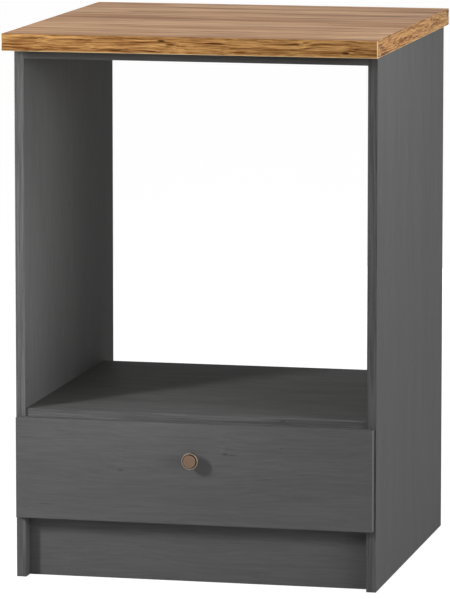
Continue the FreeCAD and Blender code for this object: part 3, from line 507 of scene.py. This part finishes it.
    def shade(self, tree: Tree) -> Socket:
        """Draws the streaks and bands, then the cracks and knots, the pale arrises (a cut edge and a painted
        highlight) and the bare core.

        Args:
            tree: the material's nodes.

        Returns:
            The shader's output.
        """
        shape = self.figure
        coordinates = add_node(tree, "ShaderNodeTexCoord")
        place = coordinates.outputs["Object"]
        normal = coordinates.outputs["Normal"]
        swayed = self.swayed(tree, place)
        darkness = self.darkness(tree, swayed, shape.layers)
        colour = self.blend(tree, darkness, self.light, self.dark)
        if self.banded:
            lines = self.darkness(tree, place, BAND_LINES)
            band = self.blend(tree, lines, self.band_light, self.band_dark)
            for side in self.banded:
                colour = self.blend(tree, self.facing(tree, normal, side), colour, band)
        level = shape.crack_level
        split = self.noise(tree, shape.crack_length, shape.crack_width, FEW_OCTAVES, swayed)
        halo = self.ramp(tree, split, level + HALO_START, level + HALO_END, HALO_SHARE)
        crack = self.ramp(tree, split, level, level + CRACK_END)
        knot = self.knots(tree, swayed)
        for mask, tint in ((halo, self.halo), (crack, self.crack), (knot, self.knot)):
            colour = self.blend(tree, mask, colour, tint)
        # Lower and upright arrises go pale: partly the cut edge of the print, partly a painted highlight.
        if self.milled_and_highlight:
            colour = self.blend(tree, self.rounded(tree, normal), colour, self.milled_and_highlight)
        for side in self.bare:
            colour = self.blend(tree, self.facing(tree, normal, side), colour, self.core(tree, place))
        relief = add_node(tree, "ShaderNodeBump", {
            "Height": self.sum_of(tree, (
                (darkness, STREAK_HEIGHT),
                (crack, CRACK_HEIGHT),
                (knot, KNOT_HEIGHT),
            )),
            "Strength": DECOR_BUMP,
            "Distance": shape.relief * MM,
        })
        surface = add_node(tree, "ShaderNodeBsdfPrincipled", {
            "Base Color": colour,
            "Roughness": self.dulled(tree, darkness) if self.pores else self.roughness,
            "Specular IOR Level": self.gloss,
            "Normal": relief.outputs[0],
        })
        return surface.outputs[0]


@dataclass(frozen=True)
class PlainCoat(Finish):
    """A smooth moulded, lacquered, plated or raw surface with a fine grit.

    Attributes:
        name: the material's name.
        slot: the record's slot that the coat belongs to.
        light, dark: the two colours that the coat drifts between.
        patch: size of the drift, in millimetres.
        grit: size of the fine texture, in millimetres, drawn coarse enough to show from close by.
        relief: height of the grit, in millimetres.
        roughness: mean roughness.
        metallic: 1 for bare metal.
    """

    name: str
    slot: str
    light: str
    dark: str
    patch: float
    grit: float
    relief: float
    roughness: float
    metallic: float = 0.0

    def clouds(self, tree: Tree, size: float, octaves: float, place: Socket) -> Socket:
        """Draws even cloudy noise.

        Args:
            tree: the material's nodes.
            size: of a cloud, in millimetres.
            octaves: layers of finer noise.
            place: the coordinates.

        Returns:
            Values around a half.
        """
        noise = add_node(tree, "ShaderNodeTexNoise", {
            "Vector": place,
            "Scale": 1.0 / (size * MM),
            "Detail": octaves,
        })
        return noise.outputs[0]

    def colour(self, tree: Tree, place: Socket) -> Socket:
        """Draws the colour, which drifts in soft patches."""
        return self.blend(tree, self.clouds(tree, self.patch, MORE_OCTAVES, place), self.light, self.dark)

    def shade(self, tree: Tree) -> Socket:
        """Draws the colour and the grit.

        Args:
            tree: the material's nodes.

        Returns:
            The shader's output.
        """
        place = add_node(tree, "ShaderNodeTexCoord").outputs["Object"]
        grit = self.clouds(tree, self.grit, FEW_OCTAVES, place)
        worn = add_node(tree, "ShaderNodeMapRange", {
            "Value": grit,
            "To Min": self.roughness - GRIT_WEAR,
            "To Max": self.roughness + GRIT_WEAR,
        })
        relief = add_node(tree, "ShaderNodeBump", {
            "Height": grit,
            "Strength": GRIT_BUMP,
            "Distance": self.relief * MM,
        })
        surface = add_node(tree, "ShaderNodeBsdfPrincipled", {
            "Base Color": self.colour(tree, place),
            "Metallic": self.metallic,
            "Roughness": worn.outputs[0],
            "Normal": relief.outputs[0],
        })
        return surface.outputs[0]


@dataclass(frozen=True)
class RubbedBrass(PlainCoat):
    """Brass under a dark patina that is rubbed off the ring of a round knob, and darkened further in the
    groove as painted shade.

    Attributes:
        middle: the middle of the knob's face, in metres.
        face: radius of the raised face, in millimetres.
        face_start, face_end: how far inside its rim the groove's patina starts and is full, in millimetres.
        ring: inner radius of the ring around the face, in millimetres.
        rubbed: how far behind the face the rubbing ends, in millimetres.
        fade: how softly the rubbing ends, in millimetres.
        bright: colour of the rubbed brass.
        hollow_patina_and_shade: colour of the groove: patina, darkened further as painted shade.
    """

    middle: Point = (0.0, 0.0, 0.0)
    face: float = 10.5
    face_start: float = 0.08
    face_end: float = 0.02
    ring: float = 11.6
    rubbed: float = 3.6
    fade: float = 0.4
    bright: str = "#92857a"
    hollow_patina_and_shade: str = "#43362a"

    def step(self, tree: Tree, value: Socket, start: float, end: float) -> Socket:
        """Turns a length into a mask that rises from 0 at start to 1 at end, both in millimetres."""
        return self.ramp(tree, value, start * MM, end * MM)

    def colour(self, tree: Tree, place: Socket) -> Socket:
        """Draws the patina, rubbed off on the ring, and a darker groove that is patina and painted shade.

        Args:
            tree: the material's nodes.
            place: the coordinates.

        Returns:
            The colour.
        """
        offset = add_node(tree, "ShaderNodeVectorMath", {0: place, 1: self.middle}, operation="SUBTRACT")
        flat = add_node(tree, "ShaderNodeVectorMath", {
            0: offset.outputs[0],
            1: Grain.FRONT_TO_BACK.across,
        }, operation="MULTIPLY")
        length = add_node(tree, "ShaderNodeVectorMath", {0: flat.outputs[0]}, operation="LENGTH")
        radius = length.outputs["Value"]
        behind = add_node(tree, "ShaderNodeSeparateXYZ", {0: offset.outputs[0]}).outputs[1]
        past_face = self.step(tree, radius, self.face - self.face_start, self.face - self.face_end)
        inside_ring = self.step(tree, radius, self.ring + self.fade, self.ring)
        on_ring = self.step(tree, radius, self.ring, self.ring + self.fade)
        near_face = self.step(tree, behind, self.rubbed + self.fade, self.rubbed)
        mixed = super().colour(tree, place)
        # The groove gets patina darkened as painted shade; the ring gets rubbed brass.
        for first, second, tint in (
            (past_face, inside_ring, self.hollow_patina_and_shade),
            (on_ring, near_face, self.bright),
        ):
            share = add_node(tree, "ShaderNodeMath", {0: first, 1: second}, operation="MULTIPLY")
            mixed = self.blend(tree, share.outputs[0], mixed, tint)
        return mixed


# Graphite decor: a fine, quiet grain with few marks.
GRAPHITE_FIGURE = Figure(
    layers=(
        Streaks(length=500.0, width=55.0, spread=0.22, share=0.24),
        Streaks(length=120.0, width=4.2, spread=0.26, share=0.42),
        Streaks(length=45.0, width=1.5, spread=0.26, share=0.34),
    ),
    sway_length=420.0,
    sway_width=110.0,
    sway_height=22.0,
    crack_length=60.0,
    crack_width=3.0,
    crack_level=0.74,
    knot_spacing=28.0,
    knot_size=2.4,
    knot_level=0.6,
    relief=0.04,
)

# Graphite decor of the shelf, from a part of the print with bolder streaks.
SHELF_FIGURE = replace(GRAPHITE_FIGURE, layers=(
    Streaks(length=220.0, width=40.0, spread=0.2, share=0.34),
    Streaks(length=80.0, width=16.0, spread=0.17, share=0.4),
    Streaks(length=45.0, width=3.0, spread=0.2, share=0.26),
))

# Oak decor of the worktop: broad streaks that sway a little, with long cracks between them.
OAK_BOARD_FIGURE = Figure(
    layers=(
        Streaks(length=900.0, width=70.0, spread=0.16, share=0.34),
        Streaks(length=480.0, width=20.0, spread=0.12, share=0.46),
        Streaks(length=140.0, width=2.6, spread=0.2, share=0.26),
    ),
    sway_length=420.0,
    sway_width=130.0,
    sway_height=26.0,
    crack_length=420.0,
    crack_width=18.0,
    crack_level=0.64,
    knot_spacing=60.0,
    knot_size=10.0,
    knot_level=0.82,
    relief=0.15,
)

# Oak decor of the edging: short wavy lines a few millimetres apart, with dark cracks.
OAK_EDGING_FIGURE = Figure(
    layers=(
        Streaks(length=380.0, width=12.0, spread=0.16, share=0.28),
        Streaks(length=120.0, width=2.2, spread=0.06, share=0.34),
        Streaks(length=36.0, width=1.5, spread=0.07, share=0.36),
    ),
    sway_length=170.0,
    sway_width=44.0,
    sway_height=7.0,
    crack_length=120.0,
    crack_width=3.0,
    crack_level=0.62,
    knot_spacing=24.0,
    knot_size=3.2,
    knot_level=0.5,
    relief=0.15,
)


@dataclass(frozen=True)
class OakTone:
    """How a face of the oak decor is toned.

    Attributes:
        light, dark: colours of early and late wood.
        gloss: specular level of the resin.
        milled_and_highlight: colour of arrises that are cut through the print, if they are; it is paler than
            a cut edge alone, as a painted highlight.
    """

    light: str
    dark: str
    gloss: float
    milled_and_highlight: str = ""


BOARD_TONE = OakTone(light="#bf915a", dark="#764820", gloss=0.27)
# The edging's pale arris colour is partly its cut edge and partly a painted highlight.
EDGING_TONE = OakTone(light="#cb9c61", dark="#643812", gloss=0.05, milled_and_highlight="#dcc294")

# Light and dark lines of the graphite edge bands. The right panel's band is darker as painted shade, and the
# drawer front's ends are paler as painted light.
BAND_TINT = ("#646464", "#4d4d4d")
PAINTED_SHADE_BAND_TINT = ("#5c5c5c", "#464646")
PAINTED_LIGHT_BAND_TINT = ("#6e6e6e", "#646464")


def decor_name(slot: str, grain: Grain, shift: float) -> str:
    """Names the material of a decor by its slot, its grain and its place in the print."""
    return f"{slot}_{grain.name.lower()}_{round(shift * 10)}"


def graphite(
    grain: Grain,
    shift: float,
    banded: tuple[Side, ...] = (),
    bare: tuple[Side, ...] = (),
    tint: tuple[str, str] = BAND_TINT,
    figure: Figure = GRAPHITE_FIGURE,
) -> WoodDecor:
    """Melamine-faced chipboard in a graphite wood decor: a dry, dark grey sheet with faint pressed grain.

    Args:
        grain: the way the figure runs.
        shift: place of the board in the print.
        banded: sides with an edge band.
        bare: sides where the chipboard shows.
        tint: light and dark lines of the bands.
        figure: sizes of the figure.

    Returns:
        The finish.
    """
    band_light, band_dark = tint
    return WoodDecor(
        name=decor_name("graphite_melamine", grain, shift),
        slot="graphite_melamine",
        grain=grain,
        figure=figure,
        light="#5f5f5f",
        dark="#505050",
        halo="#4c4c4c",
        crack="#424242",
        knot="#454545",
        roughness=0.6,
        gloss=0.01,
        banded=banded,
        band_light=band_light,
        band_dark=band_dark,
        bare=bare,
        shift=shift,
    )


def oak(
    slot: str,
    figure: Figure,
    tone: OakTone,
    grain: Grain,
    shift: float,
    bare: tuple[Side, ...] = (),
) -> WoodDecor:
    """Laminate in a cracked golden oak decor: warm bands, dark brown cracks and a silky sheen.

    Args:
        slot: the record's slot that the laminate belongs to.
        figure: sizes of the figure.
        tone: colours and gloss.
        grain: the way the figure runs.
        shift: place of the piece in the print.
        bare: sides where the chipboard shows.

    Returns:
        The finish.
    """
    return WoodDecor(
        name=decor_name(slot, grain, shift),
        slot=slot,
        grain=grain,
        figure=figure,
        light=tone.light,
        dark=tone.dark,
        halo="#6f401b",
        crack="#432713",
        knot="#452a15",
        roughness=0.42,
        gloss=tone.gloss,
        pores=0.66,
        bare=bare,
        milled_and_highlight=tone.milled_and_highlight,
        shift=shift,
    )


# Wrapping foil on thin chipboard: an even pale grey skin with hardly any sheen.
DRAWER_FOIL = PlainCoat(
    name="wrapping_foil", slot="drawer_foil", light="#d6d6d3", dark="#cbcbc8",
    patch=60.0, grit=0.8, relief=0.01, roughness=0.5,
)
# Hardboard lacquered on its upper face: pale, with the fine mottle of pressed fibre.
HARDBOARD = PlainCoat(
    name="lacquered_hardboard", slot="hardboard", light="#d2d1cc", dark="#c2c1bb",
    patch=9.0, grit=1.2, relief=0.02, roughness=0.45,
)
# Pressed steel with an epoxy powder coat: off-white, faintly orange-peeled.
COATED_STEEL = PlainCoat(
    name="epoxy_coated_steel", slot="coated_steel", light="#e2e2df", dark="#d8d8d5",
    patch=20.0, grit=1.5, relief=0.02, roughness=0.35,
)
# Moulded nylon: milky white and satin.
NYLON = PlainCoat(
    name="moulded_nylon", slot="nylon", light="#ececea", dark="#dfdfda",
    patch=5.0, grit=0.6, relief=0.01, roughness=0.42,
)
# Turned beech: pale pinkish brown, raw and matt.
BEECH = PlainCoat(
    name="turned_beech", slot="beech", light="#caa277", dark="#b48a5f",
    patch=4.0, grit=0.7, relief=0.03, roughness=0.7,
)
# Zinc-plated steel: cool grey metal with a slightly cloudy plating.
ZINC_STEEL = PlainCoat(
    name="zinc_plated_steel", slot="zinc_steel", light="#bfc0c0", dark="#a7a8a9",
    patch=3.0, grit=0.4, relief=0.01, roughness=0.32, metallic=1.0,
)


def knob_brass() -> RubbedBrass:
    """Brass under a rubbed patina: brown on the face, bright on the ring, with a soft metal sheen.

    Returns:
        The finish, centred on the knob.
    """
    lowest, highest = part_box("knob")
    middle = (lowest + highest) / 2
    return RubbedBrass(
        name="rubbed_antique_brass", slot="antique_brass", light="#7c6857", dark="#6a5748",
        patch=3.0, grit=0.5, relief=0.01, roughness=0.4, metallic=1.0,
        middle=(middle.x, lowest.y, middle.z),
    )


class SubAssembly:
    """A group of pieces that are dressed together."""

    def dress(self, node: str, finish: Finish) -> None:
        """Gives a solid of the frame its finish.

        Args:
            node: the solid's name.
            finish: what its surface is.
        """
        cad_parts[node].material_slots[0].material = finish.material()
        LOG.info("%s wears %s", node, finish.name)


@dataclass
class EasedBoards(SubAssembly):
    """A group with boards whose arrises are eased.

    Attributes:
        body: the body that the boards ride on.
        arris: radius of the eased arrises, in millimetres.
        arris_steps: flats that make up the round of an arris.
        weld: distance within which corners of a solid's triangles are one, in millimetres.
        on_face: distance within which an edge lies on a face of the board's box, in millimetres.
        flat_angle: angle up to which triangles lie in one face, in degrees.
        sharp_angle: angle past which an edge is an arris, in degrees.
    """

    body: str
    arris: float = 0.5
    arris_steps: int = 3
    weld: float = 0.005
    on_face: float = 0.01
    flat_angle: float = 1.0
    sharp_angle: float = 45.0

    def ease(self, node: str, finish: Finish) -> None:
        """Stands a copy of a board with eased arrises in the place of the solid.

        Args:
            node: the board's name.
            finish: what its surface is.
        """
        work = bmesh.new()
        work.from_mesh(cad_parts[node].data)
        bmesh.ops.remove_doubles(work, verts=work.verts, dist=self.weld * MM)
        bmesh.ops.dissolve_limit(
            work, angle_limit=math.radians(self.flat_angle), verts=work.verts, edges=work.edges,
            use_dissolve_boundaries=False,
        )
        lowest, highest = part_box(node)
        arrises = [edge for edge in work.edges if self.is_arris(edge, lowest, highest)]
        bmesh.ops.bevel(
            work, geom=arrises, offset=self.arris * MM, offset_type="OFFSET", affect="EDGES",
            segments=self.arris_steps, profile=0.5, material=-1, clamp_overlap=True,
        )
        mesh = bpy.data.meshes.new(f"{node}_board")
        work.to_mesh(mesh)
        work.free()
        mesh.materials.clear()
        mesh.materials.append(finish.material())
        piece = bpy.data.objects.new(f"{node}_board", mesh)
        bpy.context.scene.collection.objects.link(piece)
        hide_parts(node)
        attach(piece, self.body)
        LOG.info("%s stands for %s", piece.name, node)

    def is_arris(self, edge: bmesh.types.BMEdge, lowest: Vector, highest: Vector) -> bool:
        """Tells whether an edge lies along one of the twelve outer arrises of a board's box.

        Args:
            edge: an edge of the board.
            lowest: the box's lowest corner.
            highest: the box's highest corner.

        Returns:
            True for a sharp edge on two faces of the box.
        """
        middle = (edge.verts[0].co + edge.verts[1].co) / 2
        near = self.on_face * MM
        on_faces = sum(
            min(abs(middle[axis] - lowest[axis]), abs(middle[axis] - highest[axis])) < near
            for axis in range(3)
        )
        return on_faces >= 2 and edge.is_manifold and edge.calc_face_angle() > math.radians(self.sharp_angle)


@dataclass
class Worktop(SubAssembly):
    """The oak board and its three edging strips.

    Attributes:
        board_shift: place of the board in the print.
        strips: each strip's side, run of grain and place in the print.
    """

    board_shift: float = 0.7
    strips: tuple[tuple[str, Grain, float], ...] = (
        ("front", Grain.ALONG_FRONT, 7.3),
        ("left", Grain.FRONT_TO_BACK, 5.3),
        ("right", Grain.FRONT_TO_BACK, 1.7),
    )

    def build(self) -> None:
        """Dresses the board and the strips, each with its own run of grain."""
        bare = (Side.REAR, Side.BELOW)
        board = oak("oak_laminate", OAK_BOARD_FIGURE, BOARD_TONE, Grain.ALONG_FRONT, self.board_shift, bare)
        self.dress("worktop_board", board)
        for side, grain, shift in self.strips:
            strip = oak("oak_edging", OAK_EDGING_FIGURE, EDGING_TONE, grain, shift)
            self.dress(f"worktop_{side}_edging", strip)
        self.dress("worktop_screws", ZINC_STEEL)


@dataclass
class Carcass(EasedBoards):
    """The graphite boards and what joins them.

    Attributes:
        body: the body that the boards ride on.
        panels: each side panel's name, place in the print and band.
        shelf_shift, plinth_shift: places of the shelf and the plinth board in the print.
        inner_boards: name and place in the print of each board that is bare at the rear and has no band.
    """

    body: str = "carcass"
    panels: tuple[tuple[str, float, tuple[str, str]], ...] = (
        ("left_side_panel", 6.4, BAND_TINT),
        # The right panel's band is darker as painted shade.
        ("right_side_panel", 4.3, PAINTED_SHADE_BAND_TINT),
    )
    shelf_shift: float = 2.0
    plinth_shift: float = 5.0
    inner_boards: tuple[tuple[str, float], ...] = (
        ("base_panel", 1.0),
        ("front_top_rail", 3.0),
        ("rear_top_rail", 4.0),
    )

    def build(self) -> None:
        """Eases and dresses the boards, then dresses their fittings."""
        front = (Side.FRONT,)
        rear = (Side.REAR,)
        for board, shift, tint in self.panels:
            self.ease(board, graphite(Grain.UPRIGHT, shift, front, (Side.REAR, Side.BELOW), tint))
        shelf = graphite(Grain.ALONG_FRONT, self.shelf_shift, front, rear, figure=SHELF_FIGURE)
        self.ease("oven_shelf", shelf)
        for board, shift in self.inner_boards:
            self.ease(board, graphite(Grain.ALONG_FRONT, shift, bare=rear))
        self.ease("plinth_board", graphite(Grain.ALONG_FRONT, self.plinth_shift))
        for fitting in ("cam_bolts", "cam_locks"):
            self.dress(fitting, ZINC_STEEL)
        self.dress("wood_dowels", BEECH)


@dataclass
class Drawer(EasedBoards):
    """The drawer box, its front and its knob.

    Attributes:
        body: the body that the boards ride on.
        front_shift: place of the drawer front in the print.
    """

    body: str = "drawer"
    front_shift: float = 8.2

    def build(self) -> None:
        """Eases and dresses the boards, then dresses the bottom, the knob and the fittings."""
        ends = (Side.LEFT, Side.RIGHT)
        # The drawer front's ends are paler as painted light.
        self.ease("drawer_front", graphite(Grain.ALONG_FRONT, self.front_shift, ends, tint=PAINTED_LIGHT_BAND_TINT))
        for board in ("drawer_left_side", "drawer_right_side", "drawer_back"):
            self.ease(board, DRAWER_FOIL)
        self.dress("drawer_bottom", HARDBOARD)
        self.dress("knob", knob_brass())
        for fitting in ("knob_screw", "drawer_cam_bolts", "drawer_cam_locks", "drawer_back_screws"):
            self.dress(fitting, ZINC_STEEL)
        self.dress("drawer_dowels", BEECH)


@dataclass
class Runners(SubAssembly):
    """The roller runners, whose pieces ride on several bodies.

    Attributes:
        sides: where a set of rails and rollers is.
        rails: the bent rails of a set.
        rollers: the rollers of a set.
        owners: whose rivets and screws hold the sets.
    """

    sides: tuple[str, ...] = ("left", "right")
    rails: tuple[str, ...] = ("cabinet_runner", "drawer_runner")
    rollers: tuple[str, ...] = ("front_roller", "rear_roller")
    owners: tuple[str, ...] = ("cabinet", "drawer")

    def build(self) -> None:
        """Dresses the rails, rollers, rivets and screws."""
        for side in self.sides:
            for rail in self.rails:
                self.dress(f"{side}_{rail}", COATED_STEEL)
            for roller in self.rollers:
                self.dress(f"{side}_{roller}", NYLON)
        for owner in self.owners:
            self.dress(f"{owner}_roller_rivets", ZINC_STEEL)
            self.dress(f"{owner}_runner_screws", ZINC_STEEL)


@dataclass(frozen=True)
class Lamp:
    """A soft lamp.

    Attributes:
        name: the lamp's name.
        place: where it hangs, in metres.
        aim: the point that it faces, in metres.
        power: in watts.
        width, height: of its face, in metres.
        spread: angle of its beam, in degrees.
        mirrored: whether it shows in reflections.
    """

    name: str
    place: Point
    aim: Point
    power: float
    width: float
    height: float
    spread: float = 180.0
    mirrored: bool = True

    def hang(self) -> None:
        """Adds the lamp to the scene."""
        data = bpy.data.lights.new(self.name, "AREA")
        data.energy = self.power
        data.shape = "RECTANGLE"
        data.size = self.width
        data.size_y = self.height
        data.spread = math.radians(self.spread)
        lamp = bpy.data.objects.new(self.name, data)
        lamp.visible_camera = False
        lamp.visible_glossy = self.mirrored
        lamp.location = self.place
        lamp.rotation_euler = (Vector(self.aim) - Vector(self.place)).to_track_quat("-Z", "Y").to_euler()
        bpy.context.scene.collection.objects.link(lamp)


# A large soft light from the right, a narrow one from the left front, and small ones that fill the shade.
LAMPS = (
    Lamp(
        "key_lamp", place=(-1.77, -2.19, 1.52), aim=(-0.45, -0.28, 0.62),
        power=7.6, width=0.35, height=0.7, spread=60.0,
    ),
    Lamp(
        "side_lamp", place=(10.96, -5.0, 2.5), aim=(0.0, -0.1, 0.45),
        power=675.0, width=6.0, height=2.4,
    ),
    Lamp(
        "corner_lamp", place=(1.05, -0.36, 1.25), aim=(0.3, -0.1, 0.85),
        power=5.3, width=0.3, height=0.3,
    ),
    Lamp(
        "niche_lamp", place=(0.27, -0.75, 0.55), aim=(-0.284, -0.05, 0.56),
        power=0.4, width=0.15, height=0.3, spread=70.0,
    ),
    Lamp(
        "overhead_lamp", place=(-0.6, -0.3, 2.6), aim=(-0.1, 0.0, 0.9),
        power=14.0, width=1.6, height=1.6,
    ),
    Lamp(
        "rear_lamp", place=(0.0, 3.5, 0.5), aim=(0.0, 0.3, 0.45),
        power=30.0, width=1.5, height=1.5, mirrored=False,
    ),
)


@dataclass(frozen=True)
class Studio:
    """A white room with a pale floor, a few soft lamps and a camera.

    Attributes:
        ambient: brightness of the room for soft light, where 1 is white.
        floor_half: half the floor's width, in metres.
        floor_white: how much light the floor gives back.
        floor_glow: the part of the seen floor's white that needs no lamp.
        floor_shade: the part of the seen floor's white that shadows can take away.
        camera_place: where the camera stands, in metres.
        camera_turn: yaw to the left, in radians.
        camera_dip: pitch below the horizon, in radians.
        focal_pixels: focal length in pixels of the picture.
        sensor: width of the camera's sensor, in millimetres.
        rise: vertical shift of the lens, in picture heights.
        sight: how far the camera sees, in metres.
    """

    ambient: float = 0.175
    floor_half: float = 20.0
    floor_white: float = 0.8
    floor_glow: float = 0.95
    floor_shade: float = 0.2
    camera_place: Point = (1.7657, -7.7964, 1.5920)
    camera_turn: float = 0.2241
    camera_dip: float = 0.12818
    focal_pixels: float = 4832.9
    sensor: float = 36.0
    rise: float = -0.13
    sight: float = 100.0

    def seen(self, tree: Tree) -> Socket:
        """Marks the rays that look at the room: from the camera, a reflection or through glass.

        Args:
            tree: the nodes of the world or of a material.

        Returns:
            1 for such a ray and 0 for soft light.
        """
        path = add_node(tree, "ShaderNodeLightPath")
        share = path.outputs["Is Camera Ray"]
        for ray in ("Is Glossy Ray", "Is Transmission Ray"):
            either = add_node(tree, "ShaderNodeMath", {0: share, 1: path.outputs[ray]}, operation="MAXIMUM")
            share = either.outputs[0]
        return share

    def build_world(self) -> None:
        """Makes the white room."""
        world = bpy.data.worlds.new("white_room")
        world.use_nodes = True
        tree = world.node_tree
        tree.nodes.clear()
        strength = add_node(tree, "ShaderNodeMath", {
            0: self.seen(tree),
            1: 1.0 - self.ambient,
            2: self.ambient,
        }, operation="MULTIPLY_ADD")
        glow = add_node(tree, "ShaderNodeBackground", {
            "Color": (1.0, 1.0, 1.0, 1.0),
            "Strength": strength.outputs[0],
        })
        add_node(tree, "ShaderNodeOutputWorld", {"Surface": glow.outputs[0]})
        bpy.context.scene.world = world

    def build_floor(self) -> None:
        """Lays the pale floor, which is white to the camera but for the cabinet's shadow."""
        work = bmesh.new()
        bmesh.ops.create_grid(work, x_segments=1, y_segments=1, size=self.floor_half)
        mesh = bpy.data.meshes.new("studio_floor")
        work.to_mesh(mesh)
        work.free()
        floor = bpy.data.objects.new("studio_floor", mesh)
        bpy.context.scene.collection.objects.link(floor)
        mesh.materials.append(self.floor_paint())
        LOG.info("studio_floor laid")

    def floor_paint(self) -> bpy.types.Material:
        """Matt white paint, of which the camera sees the shadows weakened.

        Returns:
            The material.
        """
        paint = bpy.data.materials.new("matt_floor_paint")
        paint.use_nodes = True
        tree = paint.node_tree
        tree.nodes.clear()
        lit, weak = [
            add_node(tree, "ShaderNodeBsdfDiffuse", {"Color": (grey, grey, grey, 1.0)}).outputs[0]
            for grey in (self.floor_white, self.floor_shade)
        ]
        glow = add_node(tree, "ShaderNodeEmission", {"Strength": self.floor_glow})
        shown = add_node(tree, "ShaderNodeAddShader", {0: weak, 1: glow.outputs[0]})
        mixed = add_node(tree, "ShaderNodeMixShader", {0: self.seen(tree), 1: lit, 2: shown.outputs[0]})
        add_node(tree, "ShaderNodeOutputMaterial", {"Surface": mixed.outputs[0]})
        return paint

    def build_camera(self) -> None:
        """Stands the camera where the cabinet is seen from the right and slightly from above."""
        data = bpy.data.cameras.new("studio_camera")
        data.sensor_width = self.sensor
        data.lens = self.focal_pixels * self.sensor / PICTURE_HEIGHT
        data.shift_y = self.rise
        data.clip_end = self.sight
        camera = bpy.data.objects.new("studio_camera", data)
        camera.location = self.camera_place
        camera.rotation_euler = (math.pi / 2 - self.camera_dip, 0.0, self.camera_turn)
        bpy.context.scene.collection.objects.link(camera)
        bpy.context.scene.camera = camera

    def build(self) -> None:
        """Sets up the room, the floor, the lamps and the camera."""
        bpy.context.scene.view_settings.view_transform = "Standard"
        self.build_world()
        self.build_floor()
        for lamp in LAMPS:
            lamp.hang()
        self.build_camera()


def main() -> None:
    """Builds the cabinet's sub-assemblies in order, then the studio around them."""
    logging.basicConfig(level=logging.INFO, format="%(name)s: %(message)s")
    for part in (Worktop(), Carcass(), Drawer(), Runners()):
        part.build()
    Studio().build()


if __name__ == "__main__":
    main()
